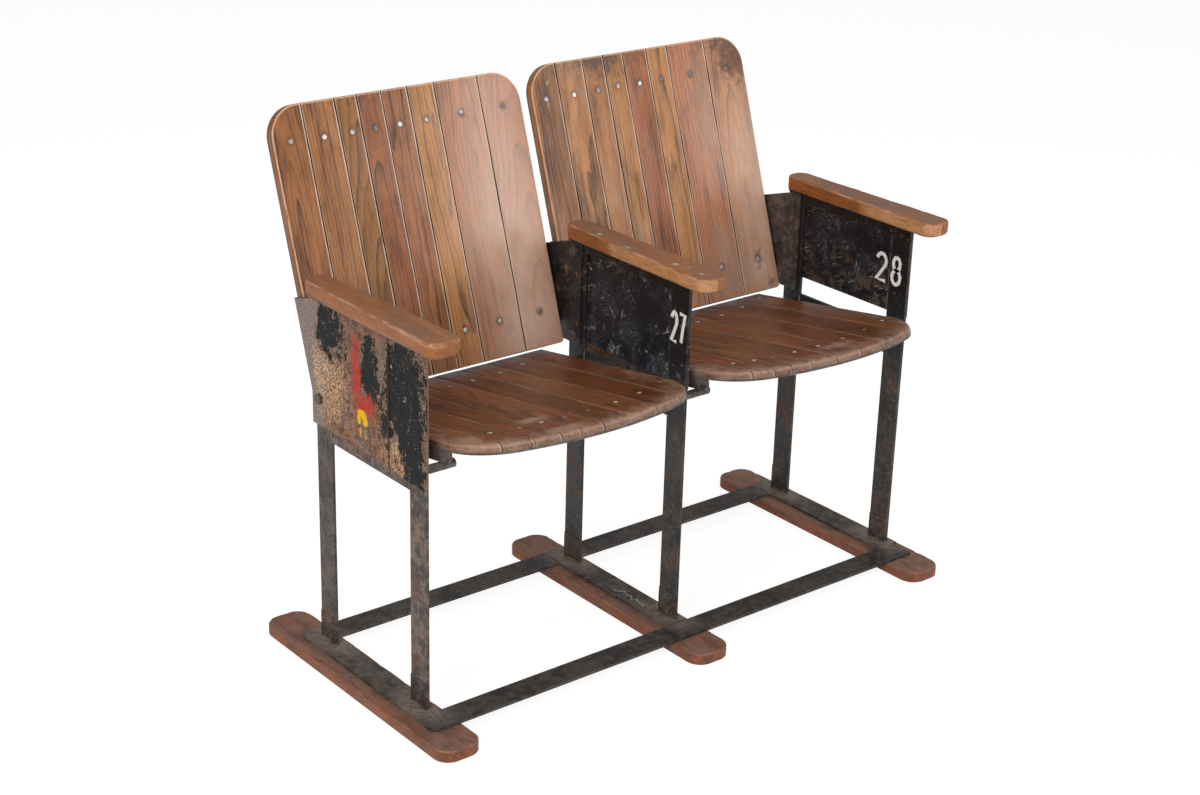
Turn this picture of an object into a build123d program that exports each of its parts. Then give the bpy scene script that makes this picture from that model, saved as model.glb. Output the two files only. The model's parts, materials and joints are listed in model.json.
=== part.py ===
from build123d import *
import math
import os

# A row of two tip up seats on three flat bar side frames.
# Millimetres, +Z up, +X to the sitter's left, +Y to the rear.
# The origin is on the floor, under the middle of the middle foot.

# ---- Side frames ----
station_pitch = 497.0        # from one foot's centre line to the next
leg_offset = 13.5            # a leg's middle plane, right of its foot's centre line
bar_width = 45.0             # flat bars of the floor frame and the lower rails
leg_width = 42.0
bar_thickness = 5.0
front_leg_y = -124.0
rear_leg_y = 132.5
frame_height = 620.6         # floor to the underside of the armrests
leg_top_cut_length = 23.0    # the rear leg's top is cut off at a slant behind the armrest
leg_top_cut_drop = 10.0
arm_rail_depth = 30.0        # the armrest rail is an angle: this leaf stands between the legs
arm_rail_flange = 30.0       # and this one lies under the armrest
lower_rail_top = 421.6
cleat_height = 45.0          # upstand tab welded beside each leg's base

# ---- Feet and floor bars ----
foot_length = 520.0
foot_width = 76.0
foot_thickness = 19.0
foot_end_radius = 27.0
foot_arris = 1.6             # chamfer
strip_offset = 7.0           # the base strip's centre line, right of the foot's
strip_front_overhang = 10.0  # past the front leg
strip_rear_overhang = 28.0   # past the rear leg
strip_end_radius = 18.0
front_bar_left_overhang = 15.5
front_bar_right_overhang = 18.5
front_bar_end_radius = 12.0
rear_bar_offset = 22.5       # behind the middle of the rear legs

# ---- Armrests ----
arm_length = 357.0
arm_front_y = -221.0
arm_thickness = 24.0
arm_front_width = 57.0
arm_rear_width = 42.0
arm_front_radius = 21.0
arm_rear_radius = 18.0
arm_arris = 2.0              # chamfer

# ---- Side sheets ----
sheet_thickness = 1.5
end_sheet_front_overhang = 7.0  # past the front leg
sheet_rear_y = 162.5         # upright part of the rear edge
sheet_slant_start = 451.6    # where the rear edge starts to lean back, or at the lower edge if that is higher
sheet_least_rear = 1.0       # least upright length of the rear edge
sheet_slant_top_drop = 31.0  # it ends this far under the armrest rail
sheet_slant_run = 45.5
sheet_top_run = 98.0         # the top edge runs up and forward to the armrest
end_sheet_lower = 395.6      # lower edge of the left sheet
middle_sheet_lower = 433.6
right_sheet_lower = 452.6
end_sheet_seam_front = -41.0
end_sheet_seam_rear = 65.0
end_sheet_lap = 10.0
end_sheet_front_drop = 7.0   # the front strip's corner hangs lower than the rest

# ---- Backs ----
recline = 18.6
back_foot_y = 148.4          # lower front edge of the boards
back_foot_z = 427.7
back_height = 461.0
back_left_gap = 4.5          # from the left frame's leg face to the left edge
back_right_gap = 13.5        # from the right edge to the right frame's leg face
back_corner_radius = 52.0
back_foot_radius = 6.0
back_arris = 2.1             # chamfer of the outer edges
back_rim_width = 18.0
back_strap_width = 26.0
back_lower_row = 60.0        # strap rows, up from the lower edge
back_upper_row = 402.0
left_back_boards = (62, 61, 41, 46, 50, 52, 86, 80)
right_back_boards = (58, 57, 45, 42, 52, 46, 84, 84)

# ---- Back brackets ----
bracket_thickness = 2.5
bracket_front_y = 123.0
bracket_rail_gap = 5.0       # from the lower rail up to the plate's lower edge
bracket_upper_drop = 34.0    # from the armrest rail down to the plate's rear top corner
bracket_top_rise = 30.0      # the top edge climbs forward by this
bracket_flange_rise = 29.0   # from the lower edge to the start of the turned-in flange
frame_bolt_radius = 5.0
frame_bolt_head = 5.0
frame_bolt_half_flats = 8.0
frame_bolt_y = 141.0
frame_bolt_low_rise = 14.0   # above the brackets' lower edge
frame_bolt_high_rise = 6.0   # above the brackets' rear top corner

# ---- Boards and rims of seats and backs ----
board_thickness = 12.5
board_gap = 1.2
board_chamfer = 0.8
rim_thickness = 3.5

# ---- Seats ----
seat_pitch = 9.2             # rise to the front, degrees
seat_length = 453.0          # rear edge to the middle of the bow
seat_left_gap = 22.0         # from the left frame's leg face to the left edge
seat_right_gap = 38.0        # from the right edge to the right frame's leg face
seat_bow_radius = 468.75
seat_corner_radius = 98.0
seat_arris = 2.4             # chamfer of the outer edges
seat_rim_width = 16.0
seat_strap_width = 20.0
seat_front_row = 73.0        # back from the bow, on the same curve
seat_rear_row = 370.0        # back from the bow at the middle
seat_rear_row_radius = 388.0
seat_behind_pivot = 43.5     # rear edge to the axis
left_seat_boards = (44, 45, 42, 31, 41, 52, 54, 59, 58)
right_seat_boards = (39, 33, 30, 37, 49, 55, 63, 69, 65)
rail_thickness = 5.0         # side rails under the seat
rail_depth = 20.0
rail_inset = 2.0
rail_rear_margin = 3.0
rail_length = 340.0
rail_front_chamfer = 8.0

# ---- Pivots and stops ----
pivot_under_back = 29.8      # from the back's lower front edge down to the axis
pivot_drop = 22.0            # from the boards' top face to the axis
pivot_radius = 4.0
pivot_clearance = 0.05       # running clearance of the rail on its pin, per side
pivot_shoulder_radius = 5.0
pivot_shoulder_gap = 0.5     # end play beside the rail
pivot_head_radius = 5.4
pivot_head = 3.0
stop_rod_radius = 7.0
stop_rod_y = -137.0
stop_rod_overlap = 28.0      # how far the rod reaches under the seat

# ---- Fits ----
hole_clearance = 0.15        # a bolt in its hole, per side
cut_margin = 1.0             # how far a cutter runs past what it cuts
seat_on_stop = 0.3           # between the rail's flat and the round stop

# ---- Worked out from the sizes above ----
stations = (-station_pitch, 0.0, station_pitch)
half_bar = bar_width / 2
half_leg = bar_thickness / 2
half_leg_width = leg_width / 2
clear_width = station_pitch - bar_thickness
back_width = clear_width - back_left_gap - back_right_gap
seat_width = clear_width - seat_left_gap - seat_right_gap
strip_top = foot_thickness + bar_thickness
flange_underside = frame_height - bar_thickness
leg_front = front_leg_y - half_leg_width
leg_rear = rear_leg_y + half_leg_width
flange_rear = leg_rear - leg_top_cut_length
strip_front = leg_front - strip_front_overhang
strip_rear = leg_rear + strip_rear_overhang
leaf_thickness = board_thickness + rim_thickness
pivot_height = back_foot_z - pivot_under_back
sheet_slant_top = flange_underside - sheet_slant_top_drop
bracket_lower = lower_rail_top + bracket_rail_gap
bracket_upper = flange_underside - bracket_upper_drop
bracket_flange_start = bracket_lower + bracket_flange_rise
frame_bolt_low = bracket_lower + frame_bolt_low_rise
frame_bolt_high = bracket_upper + frame_bolt_high_rise


def write(name, solids):
    """Writes one sub-part, made of one solid or several."""
    parts = list(solids)
    export_step(parts[0] if len(parts) == 1 else Compound(children=parts), f"parts/{name}.step")


def block(x0, x1, y0, y1, z0, z1):
    """A box between two corners."""
    size = Box(x1 - x0, y1 - y0, z1 - z0)
    return Pos((x0 + x1) / 2, (y0 + y1) / 2, (z0 + z1) / 2) * size


def side_profile(points, x0, x1):
    """A plate whose outline lies in the YZ plane, from x0 to x1."""
    face = make_face(Polyline(*[(x0, y, z) for y, z in points], close=True))
    return extrude(face, amount=x1 - x0, dir=(1, 0, 0))


def rod_along_x(x0, x1, y, z, radius):
    """A round bar along X."""
    return Pos((x0 + x1) / 2, y, z) * Rot(0, 90, 0) * Cylinder(radius, abs(x1 - x0))


def hexagon_along_x(x0, x1, y, z, half_flats):
    """A hexagonal head or nut along X."""
    face = RegularPolygon(half_flats, 6, major_radius=False)
    return Pos(x0, y, z) * Rot(0, 90, 0) * extrude(face, amount=x1 - x0)


def leg_faces(station):
    """The two wide faces of a frame's legs."""
    return station + leg_offset - half_leg, station + leg_offset + half_leg


# ---- Places of the seats and backs ----
def back_plane(left_station):
    """The boards' front face: x across, y up the back, z to the sitter."""
    left_edge = leg_faces(left_station)[1] + back_left_gap
    lean = math.radians(recline)
    origin = (left_edge + back_width / 2, back_foot_y, back_foot_z)
    return Plane(origin=origin, x_dir=(1, 0, 0), z_dir=(0, -math.cos(lean), math.sin(lean)))


def seat_left_edge(left_station):
    return leg_faces(left_station)[1] + seat_left_gap


def seat_plane(left_station):
    """The boards' top face: x across, y rearwards from the axis, z up."""
    tilt = math.radians(seat_pitch)
    middle = seat_left_edge(left_station) + seat_width / 2
    y = rear_leg_y + pivot_drop * math.sin(tilt)
    z = pivot_height + pivot_drop * math.cos(tilt)
    return Plane(origin=(middle, y, z), x_dir=(1, 0, 0), z_dir=(0, math.sin(tilt), math.cos(tilt)))


def back_rear_face(height, depth=leaf_thickness):
    """Y of the plane that lies `depth` behind the boards' front face, at a height."""
    lean = math.radians(recline)
    front = back_foot_y + (height - back_foot_z) * math.tan(lean)
    return front + depth / math.cos(lean)


def under_seat(y, depth):
    """Height of the line that lies `depth` under the seat's top face, at a place along Y."""
    tilt = math.radians(seat_pitch)
    top = pivot_height + pivot_drop / math.cos(tilt) - (y - rear_leg_y) * math.tan(tilt)
    return top - depth / math.cos(tilt)


# ---- Leaves: boards on a flat steel rim with two straps across it ----
def board_edges(widths, total):
    """Places of the seams between boards that fill a width, from its left edge."""
    scale = total / sum(widths)
    edges = [0.0]
    for width in widths:
        edges.append(edges[-1] + width * scale)
    return edges


def seam_cutter(x, y0, y1):
    """A narrow gap between two boards, opening to a small chamfer at the top face."""
    half = board_gap / 2
    mouth = half + board_chamfer + cut_margin
    depth = board_thickness + cut_margin
    points = [(-half, -depth), (half, -depth), (half, -board_chamfer),
              (mouth, cut_margin), (-mouth, cut_margin), (-half, -board_chamfer)]
    face = make_face(Polyline(*[(x + a, y0, b) for a, b in points], close=True))
    return extrude(face, amount=y1 - y0, dir=(0, 1, 0))


def boards(outline, widths, total, y0, y1, arris):
    """Boards that follow an outline, with eased outer edges and seams between them."""
    panel = extrude(outline, amount=-board_thickness)
    panel = chamfer(panel.faces().sort_by(Axis.Z)[-1].edges(), arris)
    seams = [edge - total / 2 for edge in board_edges(widths, total)[1:-1]]
    return (panel - [seam_cutter(x, y0 - cut_margin, y1 + cut_margin) for x in seams]).solids()


def rim_layer(face):
    """The steel layer just under the boards."""
    return Pos(0, 0, -board_thickness) * extrude(face, amount=-rim_thickness)


def rectangle(x0, x1, y0, y1):
    return Pos((x0 + x1) / 2, (y0 + y1) / 2) * Rectangle(x1 - x0, y1 - y0)


# ---- Backs ----
def back_outline():
    """A tall panel with round top corners and nearly square lower ones."""
    face = rectangle(-back_width / 2, back_width / 2, 0, back_height)
    ends = face.vertices().group_by(Axis.Y)
    face = fillet(ends[-1], back_corner_radius)
    return fillet(face.vertices().group_by(Axis.Y)[0], back_foot_radius)


def back_rim_inside():
    return offset(back_outline(), -back_rim_width)


def back_rim():
    """Top bar with its round corners, two side bars and a bottom bar, butt welded."""
    ring = back_outline() - back_rim_inside()
    half = back_width / 2
    zones = [(-half, half, back_height - back_corner_radius, back_height),
             (-half, 0, back_rim_width, back_height - back_corner_radius),
             (0, half, back_rim_width, back_height - back_corner_radius),
             (-half, half, 0, back_rim_width)]
    return [solid for zone in zones for solid in rim_layer(ring & rectangle(*zone)).solids()]


def back_straps():
    inside = back_rim_inside()
    half = back_strap_width / 2
    return [rim_layer(inside & rectangle(-back_width, back_width, row - half, row + half))
            for row in (back_lower_row, back_upper_row)]


def make_back(side, left_station, widths):
    plane = back_plane(left_station)
    panel = boards(back_outline(), widths, back_width, 0, back_height, back_arris)
    write(f"back_boards_{side}", [plane * board for board in panel])
    write(f"back_rim_{side}", [plane * bar for bar in back_rim()])
    write(f"back_straps_{side}", [plane * strap for strap in back_straps()])


# ---- Seats ----
seat_front = seat_behind_pivot - seat_length


def bow(x, front, radius):
    """Y of a bowed line at x, given its foremost point."""
    return front + radius - math.sqrt(radius ** 2 - x ** 2)


def seat_outline():
    """Square at the rear, straight sides, large front corners and a bowed front."""
    half = seat_width / 2
    corner = bow(half, seat_front, seat_bow_radius)
    sides = Polyline((-half, corner), (-half, seat_behind_pivot), (half, seat_behind_pivot), (half, corner))
    front = ThreePointArc((half, corner), (0, seat_front), (-half, corner))
    face = make_face([sides, front])
    return fillet(face.vertices().group_by(Axis.Y)[0], seat_corner_radius)


def seat_rim_inside():
    return offset(seat_outline(), -seat_rim_width)


def seat_rows():
    """Foremost point and radius of each bowed strap."""
    return ((seat_front + seat_front_row, seat_bow_radius), (seat_front + seat_rear_row, seat_rear_row_radius))


def seat_rim():
    """The bowed front bar, two corner pieces, two side bars and the rear bar."""
    ring = seat_outline() - seat_rim_inside()
    half = seat_width / 2
    knee = half - seat_corner_radius / 2
    corner = bow(half, seat_front, seat_bow_radius) + seat_corner_radius / 2
    rear = seat_behind_pivot - seat_rim_width
    zones = [(-knee, knee, seat_front, corner), (-half, -knee, seat_front, corner),
             (knee, half, seat_front, corner), (-half, 0, corner, rear), (0, half, corner, rear),
             (-half, half, rear, seat_behind_pivot)]
    return [solid for zone in zones for solid in rim_layer(ring & rectangle(*zone)).solids()]


def seat_straps():
    inside = seat_rim_inside()
    half = seat_strap_width / 2
    straps = []
    for front, radius in seat_rows():
        centre = Pos(0, front + radius)
        band = centre * Circle(radius + half) - centre * Circle(radius - half)
        window = rectangle(-seat_width, seat_width, front - half, front + radius / 2)
        straps.append(rim_layer(inside & band & window))
    return straps


def seat_rail(outer, inward):
    """A side rail on edge, bored for its pivot; `inward` is +1 or -1 along x."""
    near = outer
    far = outer + inward * rail_thickness
    rear = seat_behind_pivot - rail_rear_margin
    top = -leaf_thickness
    bottom = top - rail_depth
    points = [(rear, top), (rear, bottom), (rear - rail_length + rail_front_chamfer, bottom),
              (rear - rail_length, bottom + rail_front_chamfer), (rear - rail_length, top)]
    rail = side_profile(points, min(near, far), max(near, far))
    reach = inward * cut_margin
    bore = rod_along_x(near - reach, far + reach, 0, -pivot_drop, pivot_radius + pivot_clearance)
    return rail - bore


def make_seat(side, left_station, widths):
    plane = seat_plane(left_station)
    half = seat_width / 2
    panel = boards(seat_outline(), widths, seat_width, seat_front, seat_behind_pivot, seat_arris)
    rails = [seat_rail(-half + rail_inset, 1), seat_rail(half - rail_inset, -1)]
    write(f"seat_boards_{side}", [plane * board for board in panel])
    write(f"seat_rim_{side}", [plane * bar for bar in seat_rim()])
    write(f"seat_straps_{side}", [plane * strap for strap in seat_straps()])
    write(f"seat_rails_{side}", [plane * rail for rail in rails])


# ---- Pivots and stops, welded to the legs ----
def seat_sides():
    """For each side of each seat: the leg face, the seat's edge and the way from leg to seat."""
    sides = []
    for left, right in zip(stations, stations[1:]):
        edge = seat_left_edge(left)
        sides.append((leg_faces(left)[1], edge, 1))
        sides.append((leg_faces(right)[0], edge + seat_width, -1))
    return sides


def pivot_pin(face, edge, way):
    """A shouldered pin through the seat's rail, with a peened head behind it."""
    outer = edge + way * rail_inset
    inner = outer + way * rail_thickness
    shoulder = outer - way * pivot_shoulder_gap
    head = inner + way * pivot_shoulder_gap
    pin = rod_along_x(face, shoulder, rear_leg_y, pivot_height, pivot_shoulder_radius)
    pin += rod_along_x(shoulder, head, rear_leg_y, pivot_height, pivot_radius)
    return pin + rod_along_x(head, head + way * pivot_head, rear_leg_y, pivot_height, pivot_head_radius)


def stop_rod(face, edge, way):
    """A round stop that the seat's rail comes down on."""
    depth = leaf_thickness + rail_depth + seat_on_stop + stop_rod_radius
    end = edge + way * stop_rod_overlap
    return rod_along_x(face, end, stop_rod_y, under_seat(stop_rod_y, depth), stop_rod_radius)


# ---- Side frames ----
def foot(station):
    """A thick board with round ends and eased edges."""
    face = RectangleRounded(foot_width, foot_length, foot_end_radius)
    body = Pos(station, 0, 0) * extrude(face, amount=foot_thickness)
    return chamfer(body.faces().sort_by(Axis.Z)[-1].edges(), foot_arris)


def base_strip(station):
    x = station + strip_offset
    strip = block(x - half_bar, x + half_bar, strip_front, strip_rear, foot_thickness, strip_top)
    return fillet(strip.edges().filter_by(Axis.Z).group_by(Axis.Y)[-1], strip_end_radius)


def front_bar():
    x0 = stations[0] - front_bar_left_overhang
    x1 = stations[-1] + front_bar_right_overhang
    bar = block(x0, x1, strip_front - bar_width, strip_front, foot_thickness, strip_top)
    corner = bar.edges().filter_by(Axis.Z).group_by(Axis.X)[0].sort_by(Axis.Y)[0]
    return fillet(corner, front_bar_end_radius)


def rear_bars():
    """Two lengths, butt welded between the base strips."""
    reach = strip_offset + half_bar
    y = rear_leg_y + rear_bar_offset
    return [block(left + reach, right + strip_offset - half_bar, y - half_bar, y + half_bar,
                  foot_thickness, strip_top) for left, right in zip(stations, stations[1:])]


def front_leg(station):
    x0, x1 = leg_faces(station)
    return block(x0, x1, leg_front, front_leg_y + half_leg_width, strip_top, flange_underside)


def rear_leg(station):
    x0, x1 = leg_faces(station)
    front = rear_leg_y - half_leg_width
    points = [(front, strip_top), (leg_rear, strip_top), (leg_rear, flange_underside - leg_top_cut_drop),
              (flange_rear, flange_underside), (front, flange_underside)]
    leg = side_profile(points, x0, x1)
    return leg - frame_bolt_holes(station)


def leg_cleats(station):
    """Upstands welded to the strip beside both legs."""
    face = leg_faces(station)[0]
    return [block(face - bar_thickness, face, y - half_leg_width, y + half_leg_width,
                  strip_top, strip_top + cleat_height) for y in (front_leg_y, rear_leg_y)]


def lower_rail(station):
    x0, x1 = leg_faces(station)
    return block(x0, x1, front_leg_y + half_leg_width, rear_leg_y - half_leg_width,
                 lower_rail_top - bar_width, lower_rail_top)


def arm_rail(station):
    """An angle: one leaf stands between the legs, the other lies over them."""
    x0, x1 = leg_faces(station)
    leaf = block(x0, x1, front_leg_y + half_leg_width, rear_leg_y - half_leg_width,
                 frame_height - arm_rail_depth, flange_underside)
    flange = block(x1 - arm_rail_flange, x1, leg_front, flange_rear, flange_underside, frame_height)
    return leaf + flange


def armrest(station):
    """A board that widens to the front, round at the rear, with eased edges."""
    rear = arm_front_y + arm_length
    half_front = arm_front_width / 2
    half_rear = arm_rear_width / 2
    face = make_face(Polyline((-half_front, arm_front_y), (half_front, arm_front_y), (half_rear, rear),
                              (-half_rear, rear), close=True))
    ends = face.vertices().group_by(Axis.Y)
    face = fillet(ends[0], arm_front_radius)
    face = fillet(face.vertices().group_by(Axis.Y)[-1], arm_rear_radius)
    body = Pos(station, 0, frame_height) * extrude(face, amount=arm_thickness)
    return chamfer(body.faces().sort_by(Axis.Z)[-1].edges(), arm_arris)


# ---- Side sheets ----
def sheet_points(lower, front_overhang=0.0, front_drop=0.0):
    """Outline of a side sheet that follows the armrest above and the back behind."""
    front = leg_front - front_overhang
    rear_top = sheet_rear_y + sheet_slant_run
    slant_start = max(sheet_slant_start, lower + sheet_least_rear)
    top_front = rear_top - sheet_top_run
    return [(front, lower - front_drop), (sheet_rear_y, lower), (sheet_rear_y, slant_start),
            (rear_top, sheet_slant_top), (top_front, flange_underside), (front, flange_underside)]


def inner_sheet(station, lower):
    """One sheet on the right of the legs."""
    face = leg_faces(station)[1]
    return side_profile(sheet_points(lower), face, face + sheet_thickness) - frame_bolt_holes(station)


def end_sheet(station):
    """Three upright strips on the left of the legs: the middle one laps over the others."""
    face = leg_faces(station)[0]
    far = leg_front - end_sheet_front_overhang - end_sheet_lap
    cuts = [(far, end_sheet_seam_front, 0, end_sheet_front_drop),
            (end_sheet_seam_front - end_sheet_lap, end_sheet_seam_rear + end_sheet_lap, 1, 0.0),
            (end_sheet_seam_rear, sheet_rear_y + sheet_slant_run + end_sheet_lap, 0, 0.0)]
    strips = []
    for y0, y1, layer, drop in cuts:
        x1 = face - layer * sheet_thickness
        whole = side_profile(sheet_points(end_sheet_lower, end_sheet_front_overhang, drop),
                             x1 - sheet_thickness, x1)
        strip = whole & block(x1 - sheet_thickness, x1, y0, y1, 0, frame_height)
        strips.append(strip - frame_bolt_holes(station))
    return strips


# ---- Back brackets and the bolts through the frames ----
def bracket_faces(station, way):
    """Where a bracket's plate lies: way -1 is left of the legs, +1 right of them."""
    left, right = leg_faces(station)
    if way < 0:
        return left - bracket_thickness, left
    inner = right if station == stations[0] else right + sheet_thickness
    return inner, inner + bracket_thickness


def bracket(station, way):
    """A plate on the legs, with a flange turned in behind the back's rim."""
    x0, x1 = bracket_faces(station, way)
    rear = leaf_thickness + bracket_thickness
    points = [(bracket_front_y, bracket_lower), (back_rear_face(bracket_lower, rear), bracket_lower),
              (back_rear_face(bracket_upper, rear), bracket_upper),
              (bracket_front_y, bracket_upper + bracket_top_rise)]
    plate = side_profile(points, x0, x1) - frame_bolt_holes(station)
    left_station = station if way > 0 else station - station_pitch
    edge = back_plane(left_station).origin.X - way * back_width / 2
    reach = edge + way * back_rim_width
    inner = [(back_rear_face(z, depth), z) for z, depth in
             ((bracket_flange_start, leaf_thickness), (bracket_flange_start, rear),
              (bracket_upper, rear), (bracket_upper, leaf_thickness))]
    flange = side_profile(inner, min(x0, reach), max(x1, reach))
    return plate + flange


def frame_bolt_heights(station):
    """The left frame's sheet shows one bolt, the others show two."""
    return (frame_bolt_low,) if station == stations[0] else (frame_bolt_low, frame_bolt_high)


def frame_bolt_holes(station):
    x0, x1 = leg_faces(station)
    reach = 4 * bar_thickness
    radius = frame_bolt_radius + hole_clearance
    return [rod_along_x(x0 - reach, x1 + reach, frame_bolt_y, z, radius) for z in frame_bolt_heights(station)]


def frame_bolts(station):
    """Bolts through the legs, their sheets and their brackets."""
    left, right = leg_faces(station)
    left -= sheet_thickness if station == stations[0] else bracket_thickness
    if station != stations[0]:
        right += sheet_thickness
    if station != stations[-1]:
        right += bracket_thickness
    bolts = []
    for z in frame_bolt_heights(station):
        bolt = rod_along_x(left, right, frame_bolt_y, z, frame_bolt_radius)
        for x in (left - frame_bolt_head, right):
            bolt += hexagon_along_x(x, x + frame_bolt_head, frame_bolt_y, z, frame_bolt_half_flats)
        bolts.append(bolt)
    return bolts


def make_frame(side, station):
    write(f"foot_{side}", [foot(station)])
    write(f"base_strip_{side}", [base_strip(station)])
    write(f"front_leg_{side}", [front_leg(station)])
    write(f"rear_leg_{side}", [rear_leg(station)])
    write(f"lower_rail_{side}", [lower_rail(station)])
    write(f"arm_rail_{side}", [arm_rail(station)])
    write(f"armrest_{side}", [armrest(station)])


os.makedirs("parts", exist_ok=True)
sides = ("left", "middle", "right")
for side, station in zip(sides, stations):
    make_frame(side, station)
write("side_sheet_left", end_sheet(stations[0]))
write("side_sheet_middle", [inner_sheet(stations[1], middle_sheet_lower)])
write("side_sheet_right", [inner_sheet(stations[2], right_sheet_lower)])
write("floor_bar_front", [front_bar()])
write("floor_bars_rear", rear_bars())
write("leg_cleats", [cleat for station in stations for cleat in leg_cleats(station)])
write("frame_bolts", [bolt for station in stations for bolt in frame_bolts(station)])
write("bracket_left_outer", [bracket(stations[0], 1)])
write("bracket_left_inner", [bracket(stations[1], -1)])
write("bracket_right_inner", [bracket(stations[1], 1)])
write("bracket_right_outer", [bracket(stations[2], -1)])
write("pivot_pins", [pivot_pin(*side) for side in seat_sides()])
write("stop_rods", [stop_rod(*side) for side in seat_sides()])
make_back("left", stations[0], left_back_boards)
make_back("right", stations[1], right_back_boards)
make_seat("left", stations[0], left_seat_boards)
make_seat("right", stations[1], right_seat_boards)
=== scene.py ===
# %% [markdown]
# # A row of two tip up seats
# The row has slatted wooden backs and seats, flat steel side frames, sheet steel
# panels, wooden armrests and wooden feet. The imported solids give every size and
# place. This script gives them their look: it lays worn boards over the plain
# ones, adds screws, welds and painted numbers, and mixes a finish for each
# surface from patterns alone.

# %% Load the frame
import json
import math

import bpy
import numpy as np
from mathutils import Matrix, Vector

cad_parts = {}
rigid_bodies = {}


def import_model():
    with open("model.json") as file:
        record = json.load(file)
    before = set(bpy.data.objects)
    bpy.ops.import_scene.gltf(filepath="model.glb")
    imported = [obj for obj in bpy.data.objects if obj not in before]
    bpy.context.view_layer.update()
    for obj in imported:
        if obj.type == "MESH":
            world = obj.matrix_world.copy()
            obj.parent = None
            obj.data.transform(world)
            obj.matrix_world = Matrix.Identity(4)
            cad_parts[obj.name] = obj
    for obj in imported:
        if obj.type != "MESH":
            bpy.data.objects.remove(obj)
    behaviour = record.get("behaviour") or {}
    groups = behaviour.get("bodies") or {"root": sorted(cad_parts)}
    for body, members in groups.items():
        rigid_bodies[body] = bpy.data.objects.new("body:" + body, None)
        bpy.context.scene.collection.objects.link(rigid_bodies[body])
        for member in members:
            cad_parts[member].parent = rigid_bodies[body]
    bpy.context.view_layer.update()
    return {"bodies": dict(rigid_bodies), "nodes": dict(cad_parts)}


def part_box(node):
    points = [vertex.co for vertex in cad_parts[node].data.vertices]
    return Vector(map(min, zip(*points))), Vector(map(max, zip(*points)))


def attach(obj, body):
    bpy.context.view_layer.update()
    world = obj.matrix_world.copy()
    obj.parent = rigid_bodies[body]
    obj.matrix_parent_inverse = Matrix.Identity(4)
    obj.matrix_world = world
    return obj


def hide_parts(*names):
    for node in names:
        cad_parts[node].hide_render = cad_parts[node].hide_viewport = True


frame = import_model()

print("bodies:", sorted(frame["bodies"]), "nodes:", len(frame["nodes"]))

# %% [markdown]
# ## Camera
# The camera stands to the left of the row and looks down on it. Its place,
# turn and lens were found by fitting known sizes of the row to the picture, so
# the render lines up with it. The picture is tilted by a degree and a half.

# %% Camera
camera_place = Vector((-2.0840, -2.4841, 1.6963))
camera_azimuth, camera_elevation, camera_roll = (math.radians(a) for a in (-39.39, 22.18, 1.64))
camera_lens = 63.98

backwards = Vector((
    math.sin(camera_azimuth) * math.cos(camera_elevation),
    -math.cos(camera_azimuth) * math.cos(camera_elevation),
    math.sin(camera_elevation),
))
level_right = Vector((0, 0, 1)).cross(backwards).normalized()
level_up = backwards.cross(level_right)
right = level_right * math.cos(camera_roll) + level_up * math.sin(camera_roll)
up = backwards.cross(right)

lens = bpy.data.cameras.new("camera")
lens.lens = camera_lens
lens.sensor_width = 36
camera = bpy.data.objects.new("camera", lens)
camera.matrix_world = Matrix((
    (right.x, up.x, backwards.x, camera_place.x),
    (right.y, up.y, backwards.y, camera_place.y),
    (right.z, up.z, backwards.z, camera_place.z),
    (0, 0, 0, 1),
))
bpy.context.scene.collection.objects.link(camera)
bpy.context.scene.camera = camera
bpy.context.scene.view_settings.view_transform = "Standard"
print("camera at", tuple(round(v, 3) for v in camera_place))

# %% [markdown]
# ## Helpers for node trees
# Every finish is a tree of shader nodes. The recipe below adds one node per
# call and hands back its output, so that a finish reads like a recipe in a
# kitchen: each line takes patterns that were made before and makes the next.
# An output can stand in a sum, such as a * 0.5 + b. Each sign of the sum then
# adds a Math node, so the tree can be read off its formula.

# %% Outputs as numbers
def colour(red, green, blue):
    """A colour as a screen shows it, 0 to 255, turned into the linear values that light works with."""
    shown = [v / 255 for v in (red, green, blue)]
    return tuple(v / 12.92 if v <= 0.04045 else ((v + 0.055) / 1.055) ** 2.4 for v in shown) + (1.0,)


class Value:
    """A node's output that can stand in a sum like a number. Each sum adds a Math node."""

    def __init__(self, recipe, socket):
        self.recipe, self.socket = recipe, socket

    def __add__(self, other):
        return self.recipe.sum("ADD", self, other)

    def __radd__(self, other):
        return self.recipe.sum("ADD", other, self)

    def __sub__(self, other):
        return self.recipe.sum("SUBTRACT", self, other) if isinstance(other, Value) else self + -other

    def __rsub__(self, other):
        return self.recipe.sum("SUBTRACT", other, self)

    def __mul__(self, other):
        return self.recipe.sum("MULTIPLY", self, other)

    def __truediv__(self, other):
        return self.recipe.sum("DIVIDE", self, other)

    def __abs__(self):
        return self.recipe.sum("ABSOLUTE", self)


class Outputs:
    """The outputs of one node, by name, by number or one after another."""

    def __init__(self, recipe, node):
        self.recipe, self.node = recipe, node

    def __getitem__(self, key):
        return Value(self.recipe, self.node.outputs[key])


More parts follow.
